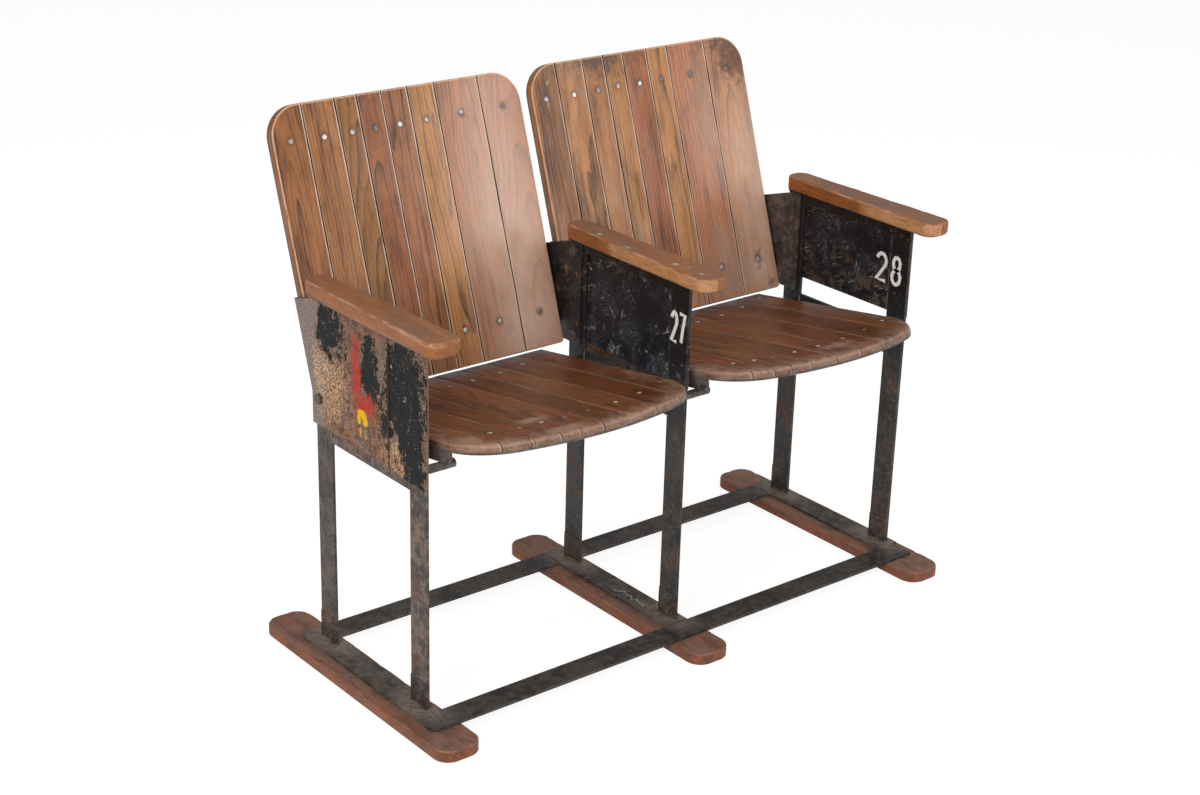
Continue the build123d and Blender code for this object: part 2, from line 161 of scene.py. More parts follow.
# %% Recipe helper
class Recipe:
    """Adds nodes to one tree. Inputs may be plain values or outputs of earlier nodes."""

    def __init__(self, tree):
        self.tree = tree

    def feed(self, socket, value):
        """Links an output to a socket, or sets the socket to a plain value."""
        if isinstance(value, Value):
            self.tree.links.new(value.socket, socket)
        else:
            socket.default_value = value

    def node(self, kind, inputs=(), **settings):
        """Adds a node and gives its outputs. inputs go by socket, settings are the node's own choices."""
        made = self.tree.nodes.new(kind)
        for key, value in settings.items():
            setattr(made, key, value)
        for key, value in dict(inputs).items():
            self.feed(made.inputs[key], value)
        return Outputs(self, made)

    def sum(self, operation, a, b=0.0, c=0.0, clamp=False):
        return self.node("ShaderNodeMath", {0: a, 1: b, 2: c}, operation=operation, use_clamp=clamp)[0]

    def most(self, *values):
        """The largest of some values: as masks, their union."""
        made = values[0]
        for value in values[1:]:
            made = self.sum("MAXIMUM", made, value)
        return made

    def least(self, a, b):
        return self.sum("MINIMUM", a, b)

    def step(self, value, low, high, start=0.0, end=1.0):
        """Goes smoothly from start to end while value goes from low to high."""
        return self.node("ShaderNodeMapRange", {0: value, 1: low, 2: high, 3: start, 4: end},
                         interpolation_type="SMOOTHSTEP")[0]

    def mix(self, share, a, b):
        return self.node("ShaderNodeMix", {0: share, 6: a, 7: b}, data_type="RGBA")[2]

    def stretch(self, where, x, y, z):
        """A place times a number along each axis. A pattern drawn there is that much finer."""
        return self.node("ShaderNodeVectorMath", {0: where, 1: (x, y, z)}, operation="MULTIPLY")[0]

    def shift(self, where, by):
        return self.node("ShaderNodeVectorMath", {0: where, 1: by}, operation="ADD")[0]

    def parts(self, where):
        """The X, Y and Z of a vector."""
        return self.node("ShaderNodeSeparateXYZ", {0: where})

    def length(self, x, y):
        """The root of the sum of the squares of two numbers."""
        return self.sum("SQRT", x * x + y * y)

    def noise(self, where, scale, detail=4.0, rough=0.55, warp=0.0):
        return self.node("ShaderNodeTexNoise", {
            "Vector": where, "Scale": scale, "Detail": detail, "Roughness": rough, "Distortion": warp,
        })[0]

    def fibres(self, grain, across, along, detail, rough, warp=0.0):
        """Noise drawn out along the grain, by its two scales: across the fibres and along them."""
        return self.noise(self.stretch(grain, across, along, across), 1.0, detail, rough, warp)

    def place(self):
        return self.node("ShaderNodeTexCoord")["Object"]

    def normal(self):
        return self.node("ShaderNodeNewGeometry")["Normal"]

    def attribute(self, name, output="Vector"):
        return self.node("ShaderNodeAttribute", attribute_name=name)[output]

    def call(self, group, **inputs):
        """Places a shared group. An underscore in an input's name stands for a space."""
        named = {key.replace("_", " "): value for key, value in inputs.items()}
        return self.node("ShaderNodeGroup", named, node_tree=group)

    def relief(self, height, depth, strength):
        """The normal of a surface that this height, 0 to 1, lifts by depth in metres."""
        return self.node("ShaderNodeBump", {"Height": height, "Distance": depth, "Strength": strength})[0]


# %% New groups and materials
def new_group(name, inputs, outputs):
    """A shared shader group with named sockets. It gives the recipe, its inputs and its output node."""
    tree = bpy.data.node_groups.new(name, "ShaderNodeTree")
    kinds = {"value": "NodeSocketFloat", "vector": "NodeSocketVector", "colour": "NodeSocketColor"}
    for way, sockets in (("INPUT", inputs), ("OUTPUT", outputs)):
        for label, kind in sockets.items():
            tree.interface.new_socket(label, in_out=way, socket_type=kinds[kind])
    recipe = Recipe(tree)
    return recipe, recipe.node("NodeGroupInput"), tree.nodes.new("NodeGroupOutput").inputs


def new_material(name, **constants):
    """A material with one Principled surface. Constants go on the surface's own sockets."""
    material = bpy.data.materials.new(name)
    material.use_nodes = True
    surface = material.node_tree.nodes["Principled BSDF"]
    for key, value in constants.items():
        surface.inputs[key.replace("_", " ")].default_value = value
    return material, Recipe(material.node_tree), surface.inputs


# %% [markdown]
# ## Light, floor and background
# The row was photographed against white with large soft lamps in front of it.
# The boards of the backs shine at their right side, so one wide lamp stands low
# at the front right, where their surface mirrors it to the camera. A second
# lamp lights the left sides, and a pale sky fills the rest. The floor is pale
# and keeps a soft shadow.

# %% Lamps
def soft_lamp(name, place, aim, width, height, power):
    """A rectangle of light at place that faces aim."""
    lamp = bpy.data.lights.new(name, "AREA")
    lamp.shape = "RECTANGLE"
    lamp.size, lamp.size_y = width, height
    lamp.energy = power
    made = bpy.data.objects.new(name, lamp)
    towards = (Vector(aim) - Vector(place)).to_track_quat("-Z", "Y")
    made.matrix_world = Matrix.Translation(place) @ towards.to_matrix().to_4x4()
    bpy.context.scene.collection.objects.link(made)
    return made


row_middle = (0.0, 0.05, 0.45)
shining_boards = (-0.12, 0.27, 0.65)
sheen = soft_lamp("lamp_sheen", (1.60, -1.95, 1.30), shining_boards, 0.50, 1.1, 17)
sheen.visible_diffuse = False
soft_lamp("lamp_front_right", (1.9, -2.2, 1.7), row_middle, 1.5, 1.5, 19).visible_glossy = False
soft_lamp("lamp_front_left", (-2.6, -1.5, 1.9), row_middle, 1.6, 1.6, 54)
soft_lamp("lamp_front", (-0.4, -3.4, 1.9), row_middle, 1.6, 1.2, 16)
soft_lamp("lamp_top", (0.2, 0.3, 3.2), row_middle, 2.4, 2.4, 36)
print("lamps:", len(bpy.data.lights))

# %% World and floor
sky_strength = 0.36
world = bpy.data.worlds.new("studio")
world.use_nodes = True
bpy.context.scene.world = world
sky = Recipe(world.node_tree)
path = sky.node("ShaderNodeLightPath")
seen = sky.most(path["Is Camera Ray"], path["Is Transmission Ray"])
backdrop = world.node_tree.nodes["Background"].inputs
backdrop["Color"].default_value = (1, 1, 1, 1)
sky.feed(backdrop["Strength"], sky.step(seen, 0.0, 1.0, sky_strength, 1.0))

floor_tone, floor_glow, glow_share = 0.86, 1.18, 0.75
half_floor = 15.0
floor_mesh = bpy.data.meshes.new("floor")
floor_mesh.from_pydata([(-half_floor, -half_floor, 0), (half_floor, -half_floor, 0),
                        (half_floor, half_floor, 0), (-half_floor, half_floor, 0)], [], [(0, 1, 2, 3)])
floor = bpy.data.objects.new("floor", floor_mesh)
bpy.context.scene.collection.objects.link(floor)

floor_material = bpy.data.materials.new("floor_pale")
floor_material.use_nodes = True
paint = Recipe(floor_material.node_tree)
matt = paint.node("ShaderNodeBsdfDiffuse", {"Color": (floor_tone, floor_tone, floor_tone, 1)})
glow = paint.node("ShaderNodeEmission", {"Color": (1, 1, 1, 1), "Strength": floor_glow})
path = paint.node("ShaderNodeLightPath")
share = paint.most(path["Is Camera Ray"], path["Is Glossy Ray"]) * glow_share
both = paint.node("ShaderNodeMixShader", {0: share, 1: matt[0], 2: glow[0]})
paint.feed(floor_material.node_tree.nodes["Material Output"].inputs["Surface"], both[0])
floor_mesh.materials.append(floor_material)

# %% [markdown]
# ## Shared patterns
# Four effects turn up on more than one finish, so each is a node group: the
# figure of sawn wood, the worn edge of a piece, mottled old steel and paint that
# flakes off. A group puts out colours and masks only. The surface itself stays
# in the material.

# %% Wood figure
# A board is cut from a log, so its figure is a slice through rings. The boards
# carry a vector named grain, in metres: its x and z are the distance from the
# log's heart and its y runs along the fibres. A ring is all that has one
# distance from the heart.
figure, given, out = new_group(
    "wood_figure",
    {"Grain": "vector", "Ring Width": "value", "Light": "colour", "Dark": "colour", "Contrast": "value"},
    {"Colour": "colour", "Height": "value", "Fibre": "value"},
)
heart = figure.parts(given["Grain"])
bend = figure.fibres(given["Grain"], 14, 2.6, 3, 0.5)
swirl = figure.fibres(given["Grain"], 62, 13, 3, 0.55)
reach = figure.length(heart["X"], heart["Z"]) + bend * 0.03 + swirl * 0.0036
turns = reach / given["Ring Width"]
phase = figure.sum("FRACT", turns)
late = figure.sum("POWER", phase, 2.4)
early = figure.step(phase, 0.90, 1.0, 1.0, 0.0)
rings = late * early
year = figure.noise(figure.node("ShaderNodeCombineXYZ", {0: figure.sum("FLOOR", turns)})[0], 1.7, 0)
rings = rings * figure.step(year, 0.32, 0.66, 0.2, 1.0)
fibre = figure.fibres(given["Grain"], 1100, 22, 3, 0.6)
streak = figure.fibres(given["Grain"], 150, 3.4, 3, 0.6)
pores = figure.fibres(given["Grain"], 1500, 70, 1, 0.5)
pores = figure.step(pores, 0.60, 0.72)
flame = figure.fibres(given["Grain"], 24, 5.0, 4, 0.6, 0.9)
dark = rings * 0.8 + figure.step(streak, 0.46, 0.74) * 0.3
dark = dark + figure.step(fibre, 0.45, 0.75) * 0.22
dark = dark + figure.step(flame, 0.46, 0.66) * 0.36
dark = figure.sum("MULTIPLY", dark, given["Contrast"], clamp=True)
wood = figure.mix(dark, given["Light"], given["Dark"])
wood = figure.mix(pores * 0.35, wood, colour(52, 28, 16))
figure.feed(out["Colour"], wood)
height = (1 - fibre) * 0.5 - pores * 0.5
figure.feed(out["Height"], height - rings * 0.35)
figure.feed(out["Fibre"], fibre)
wood_figure = figure.tree

# %% Worn edges of steel
# The Bevel node gives the normal that the surface would have with rounded
# edges. Where it leaves the true normal, there is an edge. Noise breaks the
# mask up, because paint wears off in spots.
edge, given, out = new_group(
    "worn_edge", {"Radius": "value", "Where": "vector", "Spread": "value"}, {"Mask": "value"})
rounded = edge.node("ShaderNodeBevel", {"Radius": given["Radius"]}, samples=6)[0]
agree = edge.node("ShaderNodeVectorMath", {0: rounded, 1: edge.normal()}, operation="DOT_PRODUCT")["Value"]
found = edge.step(agree, 0.995, 0.86)
grit = edge.noise(given["Where"], 240, 4, 0.7)
patchy = edge.noise(given["Where"], 22, 3, 0.6)
amount = grit * 0.6 + patchy * 0.6
edge.feed(out["Mask"], found * edge.step(amount + given["Spread"], 0.62, 0.8))
worn_edge = edge.tree

# %% Mottled steel
# Old bare or thinly painted steel is never one colour: large stains, middle
# sized clouds and fine rust grains lie over each other.
old, given, out = new_group(
    "mottled", {"Where": "vector", "Base": "colour", "Stain": "colour", "Rust": "colour", "Rust Amount": "value"},
    {"Colour": "colour", "Height": "value", "Rust": "value"})
cloud = old.noise(given["Where"], 17, 4, 0.6) * 0.35 + old.noise(given["Where"], 75, 5, 0.7) * 0.65
spots = old.noise(given["Where"], 75, 5, 0.68)
grain = old.noise(given["Where"], 420, 3, 0.7)
base = old.mix(old.step(cloud, 0.43, 0.57), given["Base"], given["Stain"])
base = old.mix(old.step(grain, 0.35, 0.75) * 0.35, base, colour(22, 19, 17))
rusty = spots * 0.65 + old.noise(given["Where"], 26, 4, 0.6) * 0.5
rusty = old.step(rusty + given["Rust Amount"], 0.66, 0.8)
old.feed(out["Colour"], old.mix(rusty, base, given["Rust"]))
old.feed(out["Height"], rusty * (grain * 0.8) + spots * 0.35)
old.feed(out["Rust"], rusty)
mottled = old.tree

# %% Flaking paint
# Paint comes off in flakes with ragged borders. Noise at two scales decides
# where it holds, and a sharp step makes the border crisp.
flake, given, out = new_group(
    "flakes", {"Where": "vector", "Scale": "value", "Amount": "value"}, {"Mask": "value"})
large = flake.noise(given["Where"], given["Scale"], 4, 0.6)
small = flake.noise(given["Where"], given["Scale"] * 7.0, 4, 0.72)
flake.feed(out["Mask"], flake.step(large * 0.62 + small * 0.5 + given["Amount"], 0.66, 0.685))
flakes = flake.tree

# %% Scratches
# A thin line is where a stretched noise crosses its middle value. Two such sets
# at different slants make the hair lines that chairs pick up from each other.
line, given, out = new_group("scratches", {"Where": "vector", "Fineness": "value"}, {"Mask": "value"})
marks = []
for turn, seed in ((0.5, 0.0), (-0.9, 7.3), (1.35, 3.1)):
    turned = line.node("ShaderNodeVectorRotate", {"Vector": given["Where"], "Angle": turn}, rotation_type="X_AXIS")
    drawn = line.stretch(turned[0], 1.0, 1.0, 9.0)
    wave = line.noise(line.shift(drawn, (seed, seed, seed)), 10, 2, 0.5)
    near = abs(wave - 0.5)
    thin = line.sum("LESS_THAN", near, given["Fineness"])
    here = line.step(line.noise(line.shift(turned[0], (seed, 2, 5)), 30, 2, 0.5), 0.55, 0.62)
    marks.append(thin * here)
line.feed(out["Mask"], line.most(*marks))
scratches = line.tree
print("shared groups:", [g.name for g in bpy.data.node_groups])

# %% [markdown]
# ## Wooden finishes
# All the wood is an oily brown hardwood under old varnish. Each board has its
# own tone and hue, which ride on it as attributes, with its distance from the
# nearest edge and from its screws. So the pale arrises, partly worn and partly a
# painted highlight, the painted highlight along each leaf's outline, the dirt in
# the seams and the stains round the screws fall where they belong.

# %% Board finish
def board_wood(name, light, dark, ring_width, contrast, gloss, *, stain_share, scuff_share, sheen_share, arris_wear_and_highlight_share,
               rim_highlight_share):
    """Varnished boards. tone goes from dark to light, hue from yellow to red. Where bare is high a pale painted sheen
    is mixed in by the share given for it; on the backs it stands for a lamp's reflection."""
    material, mixer, surface = new_material(name, Specular_IOR_Level=0.38, Coat_Weight=0.06, Coat_Roughness=0.22)
    grain = mixer.attribute("grain")
    tone = mixer.attribute("tone", "Fac")
    hue = mixer.attribute("hue", "Fac")
    grown = mixer.call(wood_figure, Grain=grain, Ring_Width=ring_width, Light=light, Dark=dark, Contrast=contrast)
    wood = mixer.node("ShaderNodeHueSaturation", {
        "Hue": mixer.step(hue, 0.0, 1.0, 0.507, 0.489), "Saturation": mixer.step(tone, 0.0, 1.0, 1.05, 0.98),
        "Value": mixer.step(tone, 0.0, 1.0, 0.58, 1.28), "Color": grown["Colour"],
    })[0]

    place = mixer.place()
    cloud = mixer.fibres(grain, 14, 6, 4, 0.65)
    blotch = mixer.noise(place, 85, 5, 0.7)
    wood = mixer.mix(mixer.step(cloud, 0.5, 0.7) * stain_share, wood, colour(58, 36, 24))
    bare = mixer.attribute("bare", "Fac")
    # Painted sheen: a pale haze where bare is high. On the backs it stands for the lamp's reflection on their right
    # boards; the seats give it no share.
    painted_sheen = bare * mixer.step(cloud + grown["Fibre"] * 0.3, 0.48, 0.8, 0.62, 1.0)
    wood = mixer.mix(painted_sheen * sheen_share, wood, colour(226, 190, 170))
    soaked = mixer.attribute("stain", "Fac") + (blotch - 0.5) * 1.5 + (cloud - 0.5) * 0.8
    wood = mixer.mix(mixer.step(soaked, 0.22, 0.8) * 0.74, wood, colour(52, 38, 32))
    drip = mixer.step(mixer.attribute("drip", "Fac") + (blotch - 0.5) * 1.2, 0.45, 0.6)
    wood = mixer.mix(drip * 0.75, wood, colour(176, 146, 62))

    screw = mixer.parts(mixer.attribute("screw"))
    nearest = mixer.least(mixer.length(screw["X"], screw["Y"]), mixer.length(screw["X"], screw["Z"]))
    halo = mixer.step(nearest + mixer.noise(grain, 160, 3, 0.6) * 0.008, 0.015, 0.007) * 0.62
    wood = mixer.mix(halo, wood, colour(50, 34, 26))

    joints = mixer.parts(mixer.attribute("joints"))
    chatter = mixer.fibres(grain, 300, 26, 4, 0.7)
    # Pale lines along the long arrises, partly wear and partly a painted highlight where the rounded edge turns to the
    # lamps: stronger on a board's right arris than on its left.
    right_arris_wear_and_highlight = mixer.step(joints["Y"], 0.0001, 0.0006) * mixer.step(joints["Y"], 0.0036, 0.0022)
    left_arris_wear_and_highlight = mixer.step(joints["X"], 0.0003, 0.0008) * mixer.step(joints["X"], 0.0017, 0.001)
    arris = mixer.most(right_arris_wear_and_highlight, left_arris_wear_and_highlight * 0.45) * mixer.step(chatter, 0.3, 0.54, 0.4, 1.0)
    wood = mixer.mix(arris * arris_wear_and_highlight_share, wood, colour(226, 202, 184))
    # Painted highlight: a pale band just inside the leaf's outline, where its rounded edge and side wall catch the
    # light.
    outer = mixer.step(joints["Z"], 0.0002, 0.0012) * mixer.step(joints["Z"], 0.004, 0.0022)
    wood = mixer.mix(outer * mixer.step(chatter, 0.3, 0.5) * rim_highlight_share, wood, colour(228, 182, 146))
    joint = mixer.least(joints["X"], joints["Y"])
    wood = mixer.mix(mixer.step(joint, 0.0007, 0.0001) * 0.92, wood, colour(33, 23, 18))

    scuffed = mixer.fibres(grain, 70, 30, 5, 0.75) * 0.6 + mixer.fibres(grain, 420, 60, 4, 0.7) * 0.4
    # On the backs bare holds the painted sheen spots, so the pale scuffs also gather under the painted sheen.
    scuff = mixer.step(scuffed + bare * 0.22, 0.56, 0.8) * scuff_share
    wood = mixer.mix(scuff, wood, colour(176, 150, 132))
    mixer.feed(surface["Base Color"], wood)
    wear = mixer.step(cloud, 0.35, 0.70, gloss, gloss + 0.20)
    mixer.feed(surface["Roughness"], wear + scuff * 0.25)
    mixer.feed(surface["Normal"], mixer.relief(grown["Height"], 0.00035, 0.55))
    return material


back_wood = board_wood("back_boards_teak", colour(174, 112, 58), colour(70, 38, 17), 0.0062, 1.15, 0.32,
                       stain_share=0.30, scuff_share=0.12, sheen_share=0.84, arris_wear_and_highlight_share=0.80, rim_highlight_share=0.60)
# The seat boards are the same teak as the backs, coloured much darker: painted shade on faces that look up.
shaded_seat_wood = board_wood("seat_boards_teak_shaded", colour(118, 68, 33), colour(46, 25, 13), 0.0060, 1.0, 0.32,
                       stain_share=0.46, scuff_share=0.42, sheen_share=0.0, arris_wear_and_highlight_share=0.25, rim_highlight_share=0.22)

# %% Armrest and foot finish
def plank_wood(name, light, dark, worn, dirt_and_sheen_colour, ring_width, gloss, *, wear_share, dirt_and_sheen_share, side_dirt, top_smudge):
    """A single thick piece: worn pale along its arrises, greyed in the middle of its top by dirt and a painted sheen.
    """
    material, mixer, surface = new_material(name, Specular_IOR_Level=0.40)
    grain = mixer.attribute("grain")
    seam = mixer.attribute("seam", "Fac")
    top = mixer.attribute("top", "Fac")
    grown = mixer.call(wood_figure, Grain=grain, Ring_Width=ring_width, Light=light, Dark=dark, Contrast=1.0)
    wood = grown["Colour"]
    cloud = mixer.fibres(grain, 26, 9, 5, 0.68)
    fine = mixer.fibres(grain, 420, 40, 4, 0.7)
    lines = mixer.step(mixer.fibres(grain, 620, 28, 4, 0.7), 0.46, 0.66, 0.0, 0.42)
    wood = mixer.mix(lines, wood, colour(70, 38, 20))
    depth = mixer.attribute("depth", "Fac")
    bared = mixer.attribute("bared", "Fac") * mixer.step(cloud + fine * 0.4, 0.52, 0.66)
    wood = mixer.mix(bared * mixer.step(fine, 0.3, 0.62, 0.3, 0.72), wood, colour(212, 160, 114))
    # The middle of the top greys: partly dirt, partly a painted sheen.
    top_dirt_and_sheen = mixer.step(cloud, 0.34, 0.6, 0.35, 1.0) * top * dirt_and_sheen_share
    wood = mixer.mix(top_dirt_and_sheen, wood, dirt_and_sheen_colour)
    rubbed = mixer.step(mixer.most(seam, depth), 0.0034, 0.0008) * mixer.step(fine + cloud, 0.88, 1.14)
    wood = mixer.mix(rubbed * wear_share, wood, worn)
    marked = mixer.step(mixer.attribute("marks", "Fac") + (fine - 0.5) * 2.4, 0.5, 0.62)
    wood = mixer.mix(marked * 0.8, wood, colour(150, 164, 150))
    smudge = mixer.step(mixer.fibres(grain, 46, 20, 5, 0.75), 0.46, 0.62) * (1 - top)
    wood = mixer.mix(smudge * side_dirt, wood, colour(84, 60, 48))
    trodden = mixer.step(mixer.fibres(grain, 34, 16, 6, 0.72), 0.47, 0.64)
    wood = mixer.mix(trodden * top * top_smudge, wood, colour(74, 54, 46))
    nicks = mixer.step(mixer.fibres(grain, 120, 60, 4, 0.75), 0.66, 0.70)
    wood = mixer.mix(nicks * 0.55, wood, colour(44, 28, 22))
    mixer.feed(surface["Base Color"], wood)
    mixer.feed(surface["Roughness"], mixer.step(cloud, 0.3, 0.7, gloss, gloss + 0.22))
    mixer.feed(surface["Normal"], mixer.relief(grown["Height"] + nicks * -0.8, 0.0006, 0.6))
    return material


# The fourth colour is the dirt and painted sheen of the top.
arm_wood = plank_wood("armrest_teak", colour(172, 102, 50), colour(86, 46, 22), colour(206, 172, 146),
                      colour(112, 82, 62), 0.0036, 0.32,
                      wear_share=0.48, dirt_and_sheen_share=0.86, side_dirt=0.25, top_smudge=0.16)
foot_wood = plank_wood("foot_hardwood", colour(158, 92, 58), colour(84, 48, 33), colour(164, 132, 114),
                       colour(130, 103, 90), 0.0034, 0.48,
                       wear_share=0.62, dirt_and_sheen_share=0.80, side_dirt=0.62, top_smudge=0.62)
print("wooden finishes:", back_wood.name, shaded_seat_wood.name, arm_wood.name, foot_wood.name)

# %% [markdown]
# ## Steel finishes
# The side frames are flat bars under thin dark paint that has let rust grains
# through. The sheets are painted black: on the two inner frames the paint still
# shines between its scratches, and on the outer one most of it is gone.

# %% Frame steel
weld_x, weld_apart = 0.0135, 0.497    # the legs stand on the strips at this x, and this far apart
front_weld_y, rear_weld_y = -0.124, 0.1325
scribble_x, scribble_front, scribble_rear, scribble_half = 0.002, -0.08, 0.004, 0.0013


def bar_steel(name, base, stain, rust, rust_amount, bare, rough, wear, edge_radius=0.0016, weld_share=0.0,
              black_from=None, scribble_share=0.0):
    """Flat bars: mottled, with edges worn to a paler metal, and pale splatter where a leg is welded on. Black paint
    has stayed on above black_from. A thin pale scribble wanders along the middle strip."""
    material, mixer, surface = new_material(name, Specular_IOR_Level=0.28)
    place = mixer.place()
    steel = mixer.call(mottled, Where=place, Base=base, Stain=stain, Rust=rust, Rust_Amount=rust_amount)
    worn = mixer.call(worn_edge, Radius=edge_radius, Where=place, Spread=wear)
    tinted = steel["Colour"]
    if black_from:
        height = mixer.parts(place)["Z"] + mixer.noise(place, 45, 5, 0.7) * 0.12
        above = mixer.step(height, black_from + 0.04, black_from + 0.08)
        stayed = above * mixer.step(steel["Rust"], 0.3, 0.8, 0.92, 0.3)
        tinted = mixer.mix(stayed, tinted, colour(24, 25, 28))
    tinted = mixer.mix(worn["Mask"] * 0.75, tinted, bare)
    scratched = mixer.call(scratches, Where=place, Fineness=0.0035)["Mask"]
    tinted = mixer.mix(scratched * 0.35, tinted, bare)
    if weld_share:
        x, y, _ = mixer.parts(place)
        wrapped = mixer.sum("WRAP", x - weld_x, weld_apart / 2, -weld_apart / 2)
        beside = mixer.least(abs(y - front_weld_y), abs(y - rear_weld_y))
        off = mixer.length(wrapped, beside * 0.62) + mixer.noise(place, 95, 5, 0.7) * 0.03
        splatter = mixer.step(off, 0.066, 0.03) * mixer.step(mixer.noise(place, 150, 5, 0.75), 0.3, 0.64)
        tinted = mixer.mix(splatter * weld_share, tinted, colour(146, 130, 118))
    if scribble_share:
        x, y, _ = mixer.parts(place)
        wander = (mixer.noise(mixer.stretch(place, 0, 70, 0), 1.0, 3, 0.65) - 0.5) * 0.055
        on_line = mixer.step(abs(x + wander - scribble_x), scribble_half, 0.0006)
        between = (mixer.step(y, scribble_front, scribble_front + 0.006)
                   * mixer.step(y, scribble_rear, scribble_rear - 0.006))
        broken = mixer.step(mixer.noise(place, 210, 3, 0.7), 0.36, 0.46)
        tinted = mixer.mix(on_line * between * broken * scribble_share, tinted, colour(206, 204, 200))
    mixer.feed(surface["Base Color"], tinted)
    mixer.feed(surface["Roughness"], mixer.step(steel["Rust"], 0.0, 1.0, rough, 0.85))
    mixer.feed(surface["Metallic"], worn["Mask"] * 0.5)
    mixer.feed(surface["Normal"], mixer.relief(steel["Height"], 0.0006, 0.7))
    return material


leg_steel = bar_steel("frame_bars", colour(120, 101, 88), colour(60, 51, 46), colour(142, 104, 82), 0.045,
                      colour(170, 154, 140), 0.46, 0.02)
dark_leg_steel = bar_steel("frame_bars_dark", colour(74, 63, 55), colour(35, 32, 31), colour(124, 94, 74), 0.045,
                           colour(156, 144, 132), 0.42, 0.06, black_from=0.37)
lap_steel = bar_steel("leg_laps", colour(92, 80, 72), colour(50, 45, 42), colour(128, 98, 80), 0.030,
                      colour(156, 142, 130), 0.46, 0.04)
rail_steel = bar_steel("seat_rails", colour(112, 101, 95), colour(60, 54, 51), colour(118, 92, 76), 0.020,
                       colour(172, 162, 152), 0.40, 0.04)
floor_steel = bar_steel("floor_bars", colour(80, 73, 68), colour(46, 44, 43), colour(110, 90, 76), 0.015,
                        colour(140, 132, 124), 0.44, 0.02, weld_share=0.80)
strip_steel = bar_steel("base_strips", colour(96, 85, 77), colour(55, 50, 47), colour(118, 96, 80), 0.020,
                        colour(148, 138, 128), 0.46, 0.02, weld_share=0.85, scribble_share=0.8)
plate_steel = bar_steel("bracket_plates", colour(104, 90, 84), colour(66, 56, 52), colour(128, 100, 84), 0.02,
                        colour(150, 138, 128), 0.55, -0.02)
dark_plate_steel = bar_steel("bracket_plates_dark", colour(52, 50, 50), colour(30, 30, 31), colour(112, 86, 72), 0.045,
                             colour(146, 132, 122), 0.42, 0.02)
rim_steel = bar_steel("rim_bars", colour(104, 100, 96), colour(78, 72, 66), colour(98, 74, 58), -0.04,
                      colour(160, 156, 150), 0.42, 0.00)
bolt_steel = bar_steel("bolts", colour(96, 90, 84), colour(70, 64, 58), colour(100, 74, 56), -0.02,
                       colour(160, 154, 146), 0.42, 0.02, 0.0008)

# %% Black enamel of the inner panels
def black_panel(name, rust_low, fold_height, uprights):
    """Black enamel with a bluish grey cast that is a painted reflection, rusty below rust_low, with a chipped fold
    line at fold_height and chipped upright edges.
    """
    material, mixer, surface = new_material(name, Specular_IOR_Level=0.30)
    place = mixer.place()
    worn = mixer.call(worn_edge, Radius=0.0007, Where=place, Spread=0.05)
    chips = mixer.call(flakes, Where=place, Scale=26.0, Amount=-0.125)
    specks = mixer.call(flakes, Where=mixer.shift(place, (3, 1, 2)), Scale=75.0, Amount=-0.045)
    cloud = mixer.noise(place, 18, 5, 0.7, 0.8)
    # The base mixes two bluish greys: a painted reflection of the pale surroundings in the glossy black.
    black = mixer.mix(mixer.step(cloud, 0.42, 0.70), colour(22, 25, 31), colour(44, 48, 58))
    hair = mixer.call(scratches, Where=place, Fineness=0.006)["Mask"]
    black = mixer.mix(hair * 0.75, black, colour(176, 172, 162))
    black = mixer.mix(chips["Mask"] * 0.8, black, colour(120, 98, 82))
    black = mixer.mix(specks["Mask"] * 0.9, black, colour(168, 150, 128))
    height = mixer.parts(place)["Z"]
    low = mixer.step(height + cloud * 0.1, rust_low + 0.085, rust_low + 0.045)
    rusty = low * mixer.step(mixer.noise(place, 48, 5, 0.75), 0.52, 0.58)
    black = mixer.mix(rusty * 0.7, black, colour(92, 72, 58))
    black = mixer.mix(worn["Mask"] * 0.8, black, colour(132, 112, 96))
    off_fold = abs(height + (-fold_height + (cloud - 0.5) * 0.004))
    fold = mixer.step(off_fold, 0.0014, 0.0006) * mixer.step(mixer.noise(place, 120, 4, 0.7), 0.4, 0.52)
    black = mixer.mix(fold * 0.7, black, colour(150, 134, 122))
    along = mixer.parts(place)["Y"] + (cloud - 0.5) * 0.005
    nearest = abs(along - uprights[0])
    for upright in uprights[1:]:
        nearest = mixer.least(nearest, abs(along - upright))
    upright = mixer.step(nearest, 0.0013, 0.0005) * mixer.step(mixer.noise(place, 90, 4, 0.7), 0.38, 0.54)
    black = mixer.mix(upright * 0.55, black, colour(142, 130, 120))
    dust = mixer.step(mixer.noise(place, 330, 4, 0.75) + mixer.step(cloud, 0.4, 0.62) * 0.1, 0.7, 0.73)
    black = mixer.mix(dust * 0.8, black, colour(170, 162, 146))
    mixer.feed(surface["Base Color"], black)
    loss = mixer.most(chips["Mask"], rusty, worn["Mask"])
    mixer.feed(surface["Roughness"], mixer.step(cloud, 0.35, 0.7, 0.26, 0.46) + loss * 0.4)
    bumps = mixer.noise(place, 9, 2, 0.5) * 2.2 + loss * -0.12
    mixer.feed(surface["Normal"], mixer.relief(bumps, 0.0012, 0.8))
    return material


middle_panel = black_panel("panel_black_middle", 0.405, 0.5900, (0.1275, 0.1120, -0.0975))
right_panel = black_panel("panel_black_right", 0.505, 0.590, (0.1120, -0.0975))

# %% [markdown]
# ### The outer panel
# The left sheet has lost most of its black. What is left clings to three
# upright zones, one near each strip's middle. Rust brown shows elsewhere, with
# sandy flakes at the borders, and two odd smears of other paint. All that is on
# the face turned to the left. The face towards the seat has stayed rust brown.

